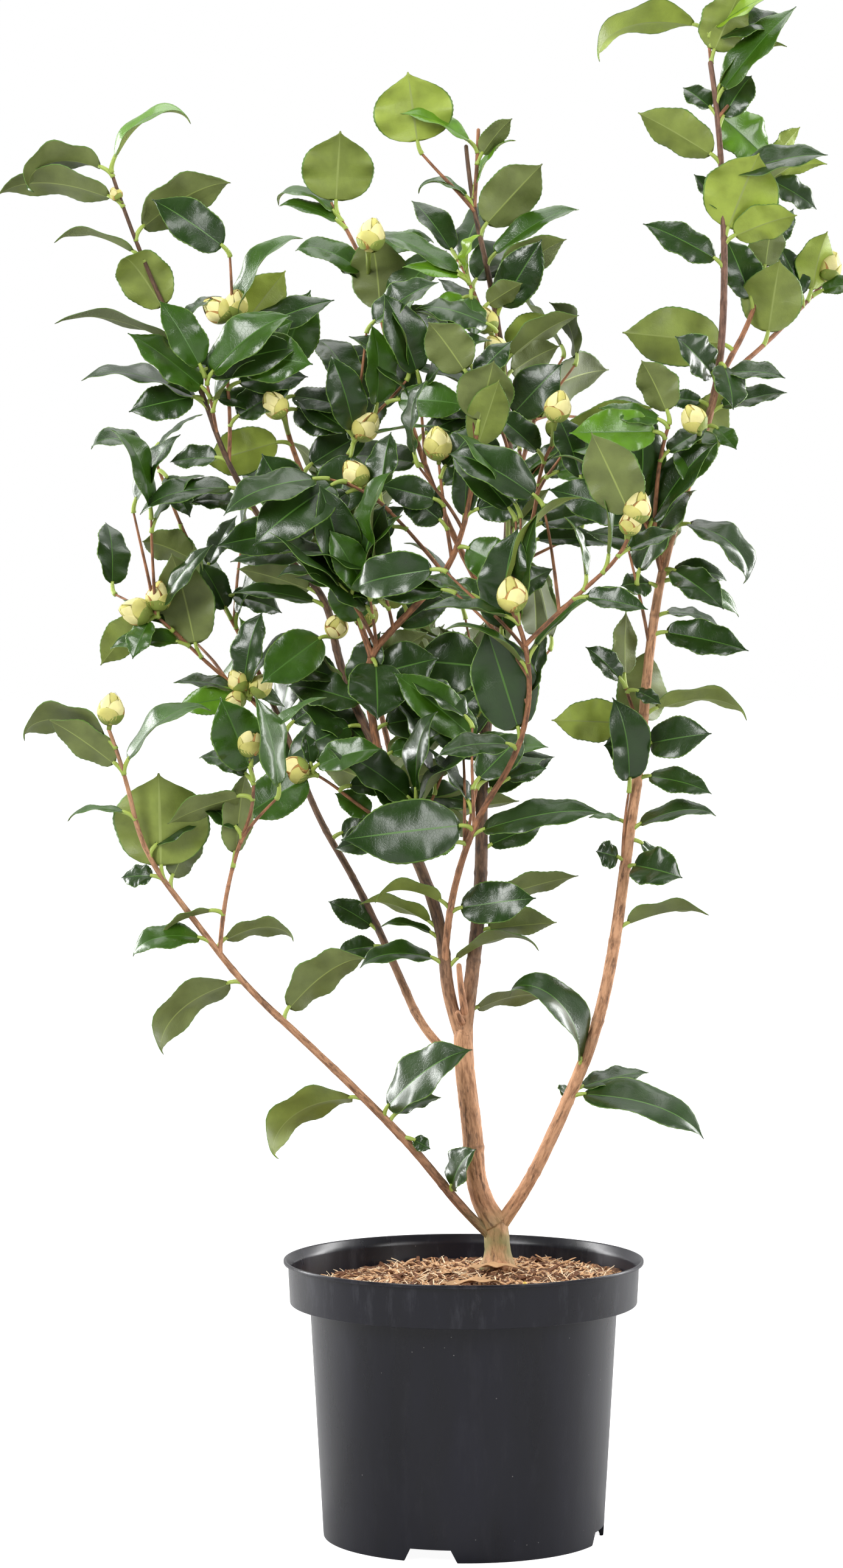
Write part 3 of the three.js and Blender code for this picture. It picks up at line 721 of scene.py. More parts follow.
def limb_skin(name, old):
    """A limb's points, triangles, grain and scars; a twig, which is not old, has fewer sides."""
    foot_radius, end_radius = RADII[name]
    way = WAYS[name]
    length = np.linalg.norm(np.diff(way, axis=0), axis=1).sum()
    rows = max(10, round(length / (OLD_ROWS if foot_radius > 6 else YOUNG_ROWS)))
    t = np.linspace(0, 1, rows + 1)
    way = np.stack([np.interp(t, np.linspace(0, 1, len(way)), way[:, i]) for i in range(3)], 1)
    dome = np.sin(np.radians(END_DOME))
    way = np.concatenate([way, way[-1] + limb_way(name, 1) * end_radius * dome[:, None]])
    along = np.concatenate([t * length, length + end_radius * dome])
    t = np.minimum(1, along / length)
    seed = sum(ord(letter) for letter in name)
    sides = 56 if foot_radius > 8 else 36 if foot_radius > 4.5 else 20 if old else 10
    around = np.arange(sides) / sides
    fit = 1 if name == "trunk" else BARK_FIT
    radius = fit * (foot_radius + (end_radius - foot_radius) * t)
    if name == "trunk":
        radius = radius + ROOT_FLARE * np.exp(-((along / FLARE_HEIGHT) ** 2))
    else:
        radius = radius * (1 + COLLAR * np.exp(-along / (1.2 * foot_radius)))
    drift = np.random.default_rng(seed).uniform(-5, 5, 200)
    scar = np.zeros(len(along))
    spacing = NODE_SPACING * (2.3 if foot_radius > 4 else 1)
    for k in range(1, int(length / spacing)):
        centre = k * spacing + 2 * drift[k]
        radius = radius * (1 + NODE_SWELLING * np.exp(-((along - centre) / 1.8) ** 2))
        scar = np.maximum(scar, 0.6 * np.exp(-((along - centre - 1.2) / 1.1) ** 2))
    radius[-len(dome):] *= np.sqrt(1 - dome**2)
    s, a = np.meshgrid(along, around, indexing="ij")
    cells = max(5, round(2 * math.pi * foot_radius / FISSURE_WIDTH))
    crack = ring_noise(a, s / FISSURE_LENGTH, cells, seed + 1)
    lump = ring_noise(a, s / LUMP_LENGTH, 4, seed + 2)
    fine = ring_noise(a, s / FINE_LENGTH, 2 * cells, seed + 3)
    depth = OLD_RELIEF if old else YOUNG_RELIEF
    fissure = -np.clip(1 - 5 * np.abs(crack - 0.5), 0, 1) + 0.4 * (fine - 0.5) + 0.9 * (lump - 0.5)
    shaped = radius[:, None] * (1 + depth * fissure)
    points, faces = tube(way, shaped, sides)
    turn = 2 * np.pi * a
    grain = np.stack([radius[:, None] * np.cos(turn), radius[:, None] * np.sin(turn), s], -1)
    grain = np.concatenate([grain.reshape(-1, 3), [[0, 0, 0], [0, 0, length]]])
    patchy = np.clip(1.6 * ring_noise(a, s / 9, 5, seed + 4), 0, 1)
    scars = np.concatenate([(scar[:, None] * patchy).ravel(), [0, 0]])
    return points, faces, grain, scars


def grain_attribute(piece, grain):
    """Store where each point lies along and round its limb, for the bark to follow."""
    layer = piece.data.attributes.new("grain", "FLOAT_VECTOR", "POINT")
    layer.data.foreach_set("vector", (np.asarray(grain) * MM).astype(np.float32).ravel())


PALE_BARK = bark("pale_fissured_bark", "cf9d77", "9c7050", "856250", "573f34", 840, 0.8)
BROWN_BARK = bark("brown_fissured_bark", "d29f78", "9c7050", "70543f", "3a2c24", 375, 0.8)
YOUNG_WOOD = bark("smooth_young_bark", "c4906c", "8e6448", "a5714f", "654530", 480, 0.3)
DARK_FOOT_BARK = bark("dark_footed_bark", "9a7054", "553c2c", "c2926e", "8c6548", 250, 0.8)
PALE_LIMBS = ("trunk", "stem_centre", "stem_right", "bough_left_low")
BROWN_LIMBS = (
    "stem_right_centre", "stem_left_centre", "bough_left_thin", "bough_left_fork", "stem_upper_left")
for limb in LIMBS:
    grow(*limb)
    name = limb[0]
    old = name in PALE_LIMBS + BROWN_LIMBS
    finish = PALE_BARK if name in PALE_LIMBS else BROWN_BARK if old else YOUNG_WOOD
    finish = DARK_FOOT_BARK if name == "bough_left_low" else finish
    points, faces, grain, scars = limb_skin(name, True)
    skin = mesh_object(name + "_bark", points, faces, [finish])
    grain_attribute(skin, grain)
    layer = skin.data.attributes.new("scar", "FLOAT", "POINT")
    layer.data.foreach_set("value", scars.astype(np.float32))
    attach(skin, "root")
    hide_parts(name)

# ---- Twigs --------------------------------------------------------------------------------
# The last years' growth: thin red-brown wood that carries the leaves, with a few dead stubs.
# More are grown by rule further down, where a mass of leaves is sparse.

TWIGS = [
    # the same values as for the limbs
    ("twig_right_tip", "stem_right", 0.734, 159, [49, 49, 45, 42], [38, 40], 2.2, 1.6),
    ("twig_right_top", "stem_right", 0.97, 50, [-8, -5], [0], 1.7, 1.3),
    ("twig_right_high", "stem_right", 0.865, 72, [45, 35, 30], [30], 1.8, 1.3),
    ("twig_right_low", "stem_right", 0.44, 38, [-22, -18], [-5], 1.7, 1.3),
    ("twig_right_stub", "stem_right", 0.955, 12, [40], [0], 1.6, 1.4),
    ("twig_right_inner", "stem_right_centre", 0.5, 136, [30, 20, 5, 30], [-30], 2.0, 1.4),
    ("twig_top_inner", "stem_right_centre", 0.755, 66, [-22, -26, -22], [-10], 1.8, 1.3),
    ("twig_heart", "stem_right_centre", 0.925, 62, [-40, -45, -42], [-6], 1.7, 1.2),
    ("twig_cut_stub", "stem_right_centre", 0.93, 62, [4, 2], [4], 1.8, 1.6),
    ("twig_dead_stub", "stem_right_centre", 0.02, 46, [-12, -4], [-35, -10], 3.6, 2.3),
    ("twig_dead_knot", "stem_right_centre", 0.01, 20, [-34, -16], [-48], 3.2, 2.2),
    ("twig_centre_end", "bough_centre", 0.98, 45, [-8, -4], [-8], 1.6, 1.2),
    ("twig_centre_mid", "bough_centre", 0.63, 74, [-10, -6], [-10], 1.8, 1.2),
    ("twig_centre_inner", "bough_centre", 0.58, 88, [-38, -42, -50], [-5], 1.8, 1.2),
    ("twig_inner_bud", "bough_left_upper", 0.66, 56, [45, 40, 20], [-12], 1.7, 1.2),
    ("twig_left_small", "bough_left_upper", 0.46, 32, [-52, -45], [-15], 1.5, 1.1),
    ("twig_left_end", "bough_left_upper", 0.95, 42, [-6, -10], [-5], 1.7, 1.3),
    ("twig_left_buds", "stem_upper_left", 0.3, 112, [5, 0, -5, 20, -18], [-8], 1.8, 1.2),
    ("twig_left_high", "bough_left_thin", 1, 215, [-22, -28, -30, -22, -20], [-6], 2.2, 1.3),
    ("twig_left_outer", "bough_left_thin", 0.93, 136, [-50, -52, -46, -47], [-16], 2.0, 1.3),
    ("twig_left_lower", "bough_left_thin", 0.89, 50, [-45, -42], [-20], 1.8, 1.3),
    ("twig_low_bud", "stem_left_centre", 0.72, 90, [-70, -55, -50, -60], [-22], 1.8, 1.2),
    ("twig_low_fork", "bough_left_low", 0.715, 30, [-32, -40], [-10], 1.8, 1.4),
]


class Bundle:
    """Points, triangles and material numbers that gather into one joined piece."""

    def __init__(self):
        self.points, self.faces, self.numbers, self.grain, self.count = [], [], [], [], 0

    def gather(self, points, faces, numbers=0, grain=None):
        """Add one skin, with a material number for each triangle or for all of them."""
        self.points.append(points)
        self.faces.append(np.asarray(faces) + self.count)
        self.numbers.append(np.broadcast_to(numbers, len(faces)))
        self.grain.append(points if grain is None else grain)
        self.count += len(points)

    def piece(self, name, materials, grain=False):
        """All that was gathered, joined as one object that rides on the plant's body."""
        points, faces, numbers = (np.concatenate(part) for part in (self.points, self.faces, self.numbers))
        made = mesh_object(name, points, faces, materials, numbers)
        if grain:
            grain_attribute(made, np.concatenate(self.grain))
        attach(made, "root")
        return made


twigs = Bundle()
for twig in TWIGS:
    grow(*twig)
    points, faces, grain, _ = limb_skin(twig[0], False)
    twigs.gather(points, faces, 0, grain)

# ---- Leaves -------------------------------------------------------------------------------
# Leathery evergreen leaves, each on a short pale stalk: dark and glossy above, dull olive below,
# folded along a sunken midrib, with a fine toothed edge and a tip that curls back.

LEAF_STEPS = 30
LEAF_COLUMNS = np.array([-1, -0.965, -0.52, -0.03, 0.03, 0.52, 0.965, 1])
LEAF_FULLNESS = 1.16
LEAF_THICKNESS = 0.45
TOOTH = 0.5
VEINS = 7
STALK = 11
STALK_SIDES = 7
STALK_FOOT_RADIUS = 2.1
STALK_TAPER = 0.6
CURL = 1.2  # of every leaf's own bend
WAVINESS = 0.13
QUILTING = 0.32
MIDRIB_DEPTH = 0.35
RIB_HEIGHT = 0.8
TURN = 6.28  # a whole turn, in radians
LEAF_FOLDS = (10, 32)
MIDRIB_FINISH = 8
EDGE_FINISH = 10
STALK_FINISH = 11
LEAVES = {
    # how far up its limb, lean, length, how far its upper side faces the front, how far back,
    # width for its length, how far it curls, and its tint from 0, dark, to 3, yellow-green
    # Tints 2 and 3 are partly the leaves' own yellow-green and partly painted light: the glow of light
    # shining through leaves seen against the bright backdrop.
    "stem_upper_left": [
        (1, 67, 78, 20, 0, .36, 100, 2), (.99, -112, 78, -28, -8, .42, 130, 1),
        (.92, -90, 93, -35, 0, .34, 60, 1), (.84, 64, 80, -50, 0, .46, 55, 1),
        (.79, -84, 66, -8, 0, .36, 60, 1), (.65, -38, 60, -75, -35, .62, 70, 2),
        (.57, -82, 95, -12, 0, .3, 45, 0), (.43, -82, 94, 20, -5, .36, 50, 0),
        (.45, -104, 52, 75, -12, .5, 25, 0), (.44, 95, 44, 60, 30, .4, 20, 0),
        (.22, -107, 78, 35, -8, .36, 50, 0), (.17, -88, 44, 40, -5, .45, 40, 0),
        (.5, 78, 78, 68, -12, .42, 25, 0), (.62, 60, 40, 30, 20, .3, 40, 0),
        (.3, -95, 40, 55, 20, .5, 20, 0)],
    "twig_left_buds": [
        (.9, 40, 88, 30, -5, .32, 70, 1), (.82, 30, 52, -60, 15, .55, 20, 1),
        (.86, 38, 56, -80, 5, .62, 10, 3), (.84, 70, 74, 60, 8, .34, 20, 0),
        (.72, 62, 48, 75, -8, .6, 15, 1), (.7, 98, 64, 80, -25, .62, 30, 1),
        (.6, -85, 46, 55, -5, .5, 30, 0), (.25, 60, 50, 60, 0, .6, 10, 0), (.5, 85, 56, 60, 15, .5, 20, 0)],
    "twig_left_end": [
        (.95, 22, 64, 82, -15, .56, 20, 1), (.5, 105, 52, 60, -20, .4, 30, 0),
        (.7, -35, 46, 60, 8, .5, 20, 0), (.3, 118, 44, 70, -10, .6, 40, 0)],
    "bough_left_upper": [
        (.88, -108, 62, -80, -20, .55, 30, 3), (.5, -100, 82, 75, -20, .4, 25, 0),
        (.42, -98, 72, 50, 5, .32, 20, 0), (.38, 55, 62, 60, -5, .34, 30, 0),
        (.1, -20, 48, 75, -18, .66, 15, 1), (.33, -12, 28, -40, -25, 1, 20, 3),
        (.75, 60, 56, 70, 15, .5, 20, 0), (.62, -70, 60, 55, 20, .5, 20, 0),
        (.2, 65, 55, 60, 20, .5, 20, 0)],
    "twig_left_small": [
        (1, -30, 50, 78, -8, .72, 10, 0), (1, 0, 34, -60, -25, .45, 20, 2)],
    "twig_inner_bud": [
        (1, -18, 64, 75, -15, .44, 45, 0), (.95, -165, 54, 75, -5, .7, 10, 0),
        (.97, 88, 70, 10, -15, .16, 30, 1), (.8, 30, 50, 60, 20, .5, 20, 0),
        (1, -60, 48, 60, 10, .45, 20, 0)],
    "twig_left_high": [
        (.97, -88, 54, 40, -10, .4, 95, 0), (.99, 55, 46, 12, 20, .3, 30, 0),
        (.93, 150, 38, 70, -5, .5, 30, 0), (.72, 165, 48, -60, 0, .36, 20, 1),
        (.55, -72, 44, -55, -20, .66, 40, 1), (.5, 30, 46, 50, 10, .4, 20, 0),
        (.32, -30, 44, 60, -8, .5, 30, 0), (.28, 40, 66, 25, -5, .32, 50, 0),
        (.12, -18, 34, 40, -15, .4, 20, 2), (.82, 95, 40, 60, 15, .5, 30, 0),
        (.4, 110, 44, 50, 15, .5, 30, 0)],
    "twig_left_outer": [
        (1, -138, 54, -70, 15, .52, 30, 2), (.98, -158, 34, 60, -20, .62, 20, 1),
        (.97, 42, 66, 40, -10, .3, 25, 0), (.62, -14, 78, -75, -15, .52, 25, 1),
        (.72, -96, 56, 45, -10, .38, 45, 1), (.85, -60, 40, 30, 15, .4, 20, 0),
        (.4, 120, 40, 40, 10, .4, 20, 1)],
    "twig_left_lower": [
        (1, -84, 50, 30, 0, .36, 30, 0), (.9, -100, 52, 75, -12, .42, 30, 2), (1, 15, 60, 60, 5, .46, 40, 0),
        (.95, 50, 66, 20, 0, .34, 60, 0)],
    "bough_left_fork": [
        (.6, -128, 64, 80, -25, .55, 20, 1), (.82, -75, 60, -50, 5, .42, 20, 1),
        (.75, -85, 66, 40, -5, .26, 30, 0), (.35, -75, 52, 60, 10, .5, 20, 0),
        (.28, -60, 56, -40, 15, .5, 20, 0), (.92, 45, 40, 60, 10, .5, 20, 0),
        (.12, -118, 58, 60, -5, .5, 35, 0), (.22, 20, 54, 65, -8, .5, 25, 0)],
    "bough_left_low_shoot": [
        (.9, -22, 60, 80, -15, .58, 25, 1), (.97, 52, 70, 20, -5, .24, 40, 1),
        (.8, -112, 60, -40, 10, .42, 20, 1), (.45, 8, 64, -60, -12, .38, 15, 1),
        (.2, -117, 44, -20, 0, .28, 40, 1), (.88, -72, 42, 40, 15, .4, 60, 0),
        (.6, -55, 34, 50, 20, .5, 20, 0)],
    "twig_low_bud": [
        (.95, -122, 62, 80, -20, .56, 20, 1), (1, 76, 54, 60, -12, .45, 40, 1),
        (.7, 95, 34, 60, 5, .5, 20, 0), (.25, -60, 32, 70, -10, .6, 20, 1),
        (.98, -10, 26, 60, 20, .5, 20, 0)],
    "bough_left_low": [
        (.1, 32, 42, 35, -25, .72, 45, 0), (.26, 55, 86, 42, -15, .46, 45, 0),
        (.25, 72, 38, 30, 10, .5, 30, 0), (.22, 120, 15, 60, 0, .8, 10, 0),
        (.3, -131, 98, -44, 0, .38, 115, 2), (.475, 58, 76, -52, 0, .46, 60, 1),
        (.56, -138, 88, -42, -5, .42, 90, 1), (.64, -106, 60, 38, -5, .42, 80, 1),
        (.625, 93, 62, -38, 0, .36, 90, 1), (.757, -1, 72, -86, -8, .95, 8, 2),
        (.74, 28, 60, -60, 20, .45, 20, 0), (.76, -95, 26, 50, 20, .7, 20, 0),
        (.86, -100, 48, 15, 10, .25, 60, 1), (.97, -93, 78, -35, -5, .46, 110, 1),
        (.93, -56, 60, -60, -10, .44, 20, 1), (.93, 60, 80, 20, 0, .42, 70, 1),
        (.8, 60, 46, 40, 20, .4, 20, 0)],
    "bough_left_thin": [
        (.33, -102, 32, 50, -5, .6, 30, 0), (.37, -62, 40, 60, 10, .5, 30, 0),
        (.62, 85, 30, 60, -5, .8, 10, 0), (.8, -55, 50, 50, 10, .5, 20, 0), (.9, 60, 44, 60, 15, .5, 20, 0)],
    "stem_centre": [
        (.8, -72, 16, 50, 20, .7, 10, 0)],
    "stem_left_centre": [
        (.24, -98, 62, 30, -10, .4, 60, 0), (.32, -84, 42, 20, 5, .3, 50, 0),
        (.35, -76, 60, -25, -8, .42, 50, 2), (.22, 84, 74, -15, -12, .36, 75, 1),
        (.85, -70, 52, -60, 15, .62, 10, 1), (.86, 80, 46, -55, 10, .55, 10, 1),
        (.6, 70, 26, 60, 10, .6, 10, 2), (.7, 80, 84, -40, 15, .4, 15, 1), (.95, 75, 38, 70, 5, .45, 20, 1),
        (.9, 62, 64, -60, 30, .52, 25, 1), (.8, 98, 58, 45, 12, .46, 35, 0),
        (.92, -72, 68, -58, 25, .56, 25, 1), (.97, -58, 72, 50, 18, .46, 35, 0),
        (.66, -100, 50, 55, 15, .5, 30, 0)],
    "bough_centre": [
        (.265, 178, 48, 76, -28, .95, 15, 0), (.2, 76, 50, 80, 5, .7, 15, 0),
        (.42, -50, 38, -60, 10, .7, 20, 3), (.72, 4, 56, 70, -10, .36, 10, 0),
        (.66, 118, 44, 80, -20, .7, 10, 1), (.76, 80, 42, 75, 0, .6, 15, 0),
        (1, 14, 50, -85, -22, .82, 15, 1), (.93, 18, 58, -86, -28, .5, 5, 2),
        (.5, 100, 52, 60, -5, .45, 20, 0), (.35, 60, 50, 60, 15, .5, 20, 0),
        (.06, 84, 60, 62, 8, .56, 25, 0), (.12, -78, 62, 55, 16, .5, 30, 0),
        (.2, 55, 58, -50, 25, .5, 20, 1)],
    "twig_centre_end": [
        (1, -38, 48, -70, -15, .68, 30, 1), (.9, 45, 40, 60, 10, .5, 20, 0)],
    "twig_centre_mid": [
        (.55, -76, 44, 80, -15, .52, 10, 0), (.3, -52, 38, 70, -5, .8, 10, 0),
        (.85, 40, 44, 60, 15, .5, 20, 0)],
    "twig_centre_inner": [
        (.5, -100, 46, 60, 15, .5, 20, 0), (.8, 10, 50, 60, 15, .5, 20, 0)],
    "bough_centre_upper": [
        (.97, 4, 56, -86, -10, .92, 12, 2), (.95, -83, 60, 20, 15, .42, 110, 1),
        (.93, -76, 50, 35, 0, .35, 50, 1), (.8, -74, 60, 48, 0, .42, 70, 1),
        (.79, -62, 26, 50, 20, .6, 20, 0), (.82, 74, 58, 45, 10, .38, 75, 1),
        (.7, -8, 62, -75, -15, .66, 40, 1), (.68, 42, 72, 50, 0, .5, 40, 1),
        (.7, 112, 70, 75, -20, .45, 15, 0), (.5, -56, 54, 75, -10, .7, 20, 0),
        (.62, 75, 40, 60, 10, .5, 20, 0), (.58, -80, 56, 50, 10, .34, 30, 0),
        (.42, 70, 50, 60, 5, .4, 30, 0), (.3, 60, 46, 50, 15, .5, 20, 0), (.36, -85, 60, 50, 12, .5, 20, 0),
        (.48, 95, 60, 60, -5, .35, 20, 0)],
    "stem_right_centre": [
        (.94, 42, 55, 15, 15, .3, 60, 2), (.895, 44, 66, -75, -15, .62, 15, 1),
        (.93, -86, 48, 20, 10, .38, 100, 1), (.86, 62, 80, 45, 10, .28, 40, 1),
        (.82, 54, 68, -50, -10, .5, 40, 1), (.8, 32, 62, 82, -12, .5, 10, 0),
        (.76, 55, 46, -70, 20, .5, 20, 3), (.745, 60, 64, -45, -5, .38, 35, 1),
        (.73, 62, 48, -60, 20, .6, 30, 1), (.68, 45, 56, 72, -15, .6, 20, 0), (.6, 52, 58, 50, 5, .3, 20, 0),
        (.6, 78, 92, 10, 0, .16, 80, 1), (.57, 88, 56, 60, 5, .3, 10, 0), (.55, 42, 44, -50, 0, .36, 20, 1),
        (.4, -85, 54, 80, 5, .8, 10, 0), (.38, -135, 42, 70, 0, .6, 15, 0),
        (.02, 86, 68, -30, 10, .42, 45, 1), (.11, 85, 54, -60, -5, .45, 10, 1),
        (.14, 76, 72, -50, 5, .3, 15, 1), (.7, -60, 46, 50, 15, .5, 20, 0),
        (.64, -75, 50, 60, 10, .5, 20, 0), (.48, 60, 40, 60, -10, .5, 20, 0),
        (.2, 70, 46, 60, 15, .5, 20, 0), (.3, -60, 50, 60, 15, .5, 20, 0), (.33, -74, 62, 55, 20, .5, 25, 0),
        (.26, 64, 58, 50, 5, .46, 35, 0), (.22, -84, 60, -45, 15, .5, 25, 1)],
    "twig_top_inner": [
        (1, -66, 80, 40, 10, .26, 30, 1), (1, -82, 46, 40, -5, .36, 30, 2),
        (.98, 20, 36, 20, -15, .6, 70, 3), (.9, 175, 34, 60, -15, .6, 20, 1),
        (.8, -120, 34, 50, 0, .6, 20, 2), (.6, 60, 32, -60, -5, .6, 20, 1),
        (.3, -76, 60, 10, 10, .25, 50, 1), (.5, -50, 44, 40, 20, .4, 20, 0)],
    "twig_heart": [
        # The heart-shaped leaf at the top takes tint 3, partly painted light shining through it.
        (1, -8, 55, -88, -4, 1.02, 8, 3)],
    "twig_cut_stub": [
        (.7, -70, 62, 30, -15, .4, 35, 2), (.55, 42, 38, -60, -10, .46, 40, 1)],
    "twig_right_inner": [
        (1, 74, 72, -45, -8, .34, 20, 2), (.4, 80, 60, 60, 10, .35, 20, 0), (.3, 95, 62, 50, 15, .3, 30, 0),
        (.85, -50, 48, 60, 10, .5, 20, 0), (.7, 60, 44, 60, 15, .5, 20, 0)],
    "bough_front": [
        (.14, -92, 58, -20, -8, .4, 75, 2), (.13, 82, 60, 70, -12, .5, 15, 0),
        (.62, -18, 86, 80, -18, .54, 10, 0), (.72, 15, 50, 40, 10, .4, 20, 0),
        (.8, -68, 70, 10, -15, .25, 60, 1), (.93, -86, 66, 25, -15, .26, 30, 0),
        (.6, -100, 60, 40, -20, .4, 40, 0), (.34, 82, 98, 45, -12, .27, 35, 0),
        (.36, -96, 98, 80, -20, .44, 15, 0), (.32, -110, 42, 30, -5, .35, 20, 1),
        (.83, 62, 92, 20, 5, .18, 60, 1), (.93, 12, 74, 40, 0, .26, 20, 0), (1, 42, 92, -20, 10, .2, 60, 2),
        (.5, 75, 30, 60, 0, .5, 20, 0)],
    "bough_front_fork": [
        (.42, 102, 48, 55, -15, .4, 15, 0), (.66, -30, 100, 10, 5, .2, 90, 1),
        (1, -26, 66, -76, -8, .58, 10, 1), (.5, -20, 50, 20, 10, .25, 40, 1),
        (.8, 70, 40, 50, 15, .4, 20, 0)],
    "bough_right_side": [
        (1, -28, 44, -60, -10, .72, 25, 1), (.97, -80, 48, 50, -10, .35, 15, 1),
        (.9, -92, 70, 80, -20, .46, 10, 2), (.75, 60, 36, 50, 10, .5, 20, 0)],
    "twig_right_low": [
        (1, -48, 38, 60, -15, .5, 30, 0), (1, 2, 50, -60, 10, .4, 10, 1), (.9, 120, 22, 50, -15, .6, 20, 0)],
    "stem_right": [
        (.148, -48, 108, 38, -8, .32, 130, 0), (.125, 110, 106, 38, -10, .34, 55, 0),
        (.13, 80, 56, 30, 15, .36, 20, 0), (.118, -5, 18, 60, 60, .7, 20, 0),
        (.272, 84, 66, -22, -10, .42, 40, 1), (.325, 103, 48, 62, -40, .66, 20, 0),
        (.33, -75, 20, 60, -25, 1, 10, 0), (.355, 84, 64, 35, -5, .3, 60, 0),
        (.35, 140, 30, 40, 10, .4, 20, 0), (.36, -85, 26, 20, 0, .4, 30, 1),
        (.4, 106, 52, 50, -15, .42, 30, 0), (.425, 80, 54, 70, -30, .55, 20, 0),
        (.42, -80, 24, 60, -22, .9, 10, 0), (.452, 98, 80, -25, -5, .38, 75, 2),
        (.442, -88, 62, -76, -10, .52, 10, 3), (.44, 5, 60, -70, 25, .66, 10, 1),
        (.52, 103, 66, 60, -10, .42, 15, 0), (.535, 110, 50, 20, 15, .35, 60, 0),
        (.575, 130, 58, 60, -35, .45, 20, 0), (.56, -95, 26, 50, -25, .8, 20, 0),
        (.565, 120, 62, 40, 10, .3, 50, 1), (.57, 100, 46, 50, 15, .4, 50, 0),
        (.585, -76, 58, 50, 20, .4, 20, 0), (.585, 25, 28, -30, -12, .42, 20, 1),
        (.612, 138, 78, 40, -8, .42, 100, 0), (.665, 22, 58, -72, 10, .52, 20, 2),
        (.7, -160, 54, 75, -30, .56, 20, 1), (.7, 140, 26, 60, -30, .6, 10, 1),
        (.715, -85, 30, 60, 10, .5, 20, 0), (.71, 78, 54, 50, 10, .35, 20, 0),
        (.735, -48, 48, 60, -32, .62, 20, 0), (.74, 98, 50, 45, -30, .4, 30, 0),
        (.752, 172, 44, 60, -38, .6, 20, 0), (.83, -65, 62, 60, -5, .42, 20, 0),
        (.852, 22, 64, -82, -20, .82, 20, 3), (.85, 74, 54, -62, -25, .52, 30, 3),
        (.9, 80, 74, 45, -10, .38, 25, 0), (.915, -62, 66, -62, -10, .5, 20, 2),
        (.945, 35, 42, 72, 15, .62, 30, 0), (.955, -52, 28, 60, 20, .7, 20, 0),
        (.965, 42, 84, 42, -5, .36, 15, 1), (.97, 60, 68, -20, 10, .3, 70, 2),
        (.87, -35, 34, 55, 10, .5, 20, 0), (.63, -60, 46, 60, 20, .5, 20, 0)],
    "twig_right_top": [
        (.55, 24, 50, -72, -10, .7, 15, 2), (.95, 62, 48, 38, -12, .48, 20, 3),
        (1, -112, 94, -22, -5, .46, 90, 3), (.8, 74, 58, 50, 12, .45, 30, 0)],
    "twig_right_high": [
        (1, -50, 50, 62, -12, .8, 10, 2), (.8, 122, 42, 50, 10, .6, 20, 0), (.7, 76, 52, -50, 5, .3, 50, 3),
        (.6, 60, 48, -40, 15, .5, 20, 1), (1, 40, 34, -50, 15, .5, 20, 3)],
    "bough_right_fork": [
        (.6, -22, 52, 75, 10, .6, 20, 0), (.85, 10, 36, -70, -10, .8, 20, 1),
        (.28, -85, 80, -76, -15, .52, 15, 2), (1, 30, 36, 60, 10, .5, 20, 0)],
    "twig_right_tip": [
        (.42, 8, 58, -86, -15, .8, 10, 2), (.8, -24, 44, 60, 10, .52, 20, 0),
        (.85, 15, 48, -60, -10, .62, 25, 3), (.9, 86, 32, 50, 0, .5, 60, 1)],
}
# From dark to yellow-green. The two lightest tints are partly painted light, the glow through a leaf held
# against the bright backdrop.
UPPER_TINTS = ["1f3a09", "32560b", "578414", "7ea01a"]
UNDER_TINTS = ["5e683b", "6d7841", "7d8b3f", "93a442"]


def two_sided(rows, columns):
    """Triangles of a thin sheet, above and below, and the column of each; its edge is shared."""
    top = grid_faces(rows, columns)
    number = np.arange(rows * columns).reshape(rows, columns)
    inner = rows * columns + np.arange((rows - 2) * (columns - 2)).reshape(rows - 2, columns - 2)
    number[1:-1, 1:-1] = inner
    column = np.tile(np.arange(columns - 1), 4 * (rows - 1))
    return np.concatenate([top, number.ravel()[top][:, ::-1]]), column


LEAF_FACES, LEAF_COLUMN = two_sided(LEAF_STEPS + 1, len(LEAF_COLUMNS))
LEAF_UNDER = np.repeat([0, 1], len(LEAF_FACES) // 2)


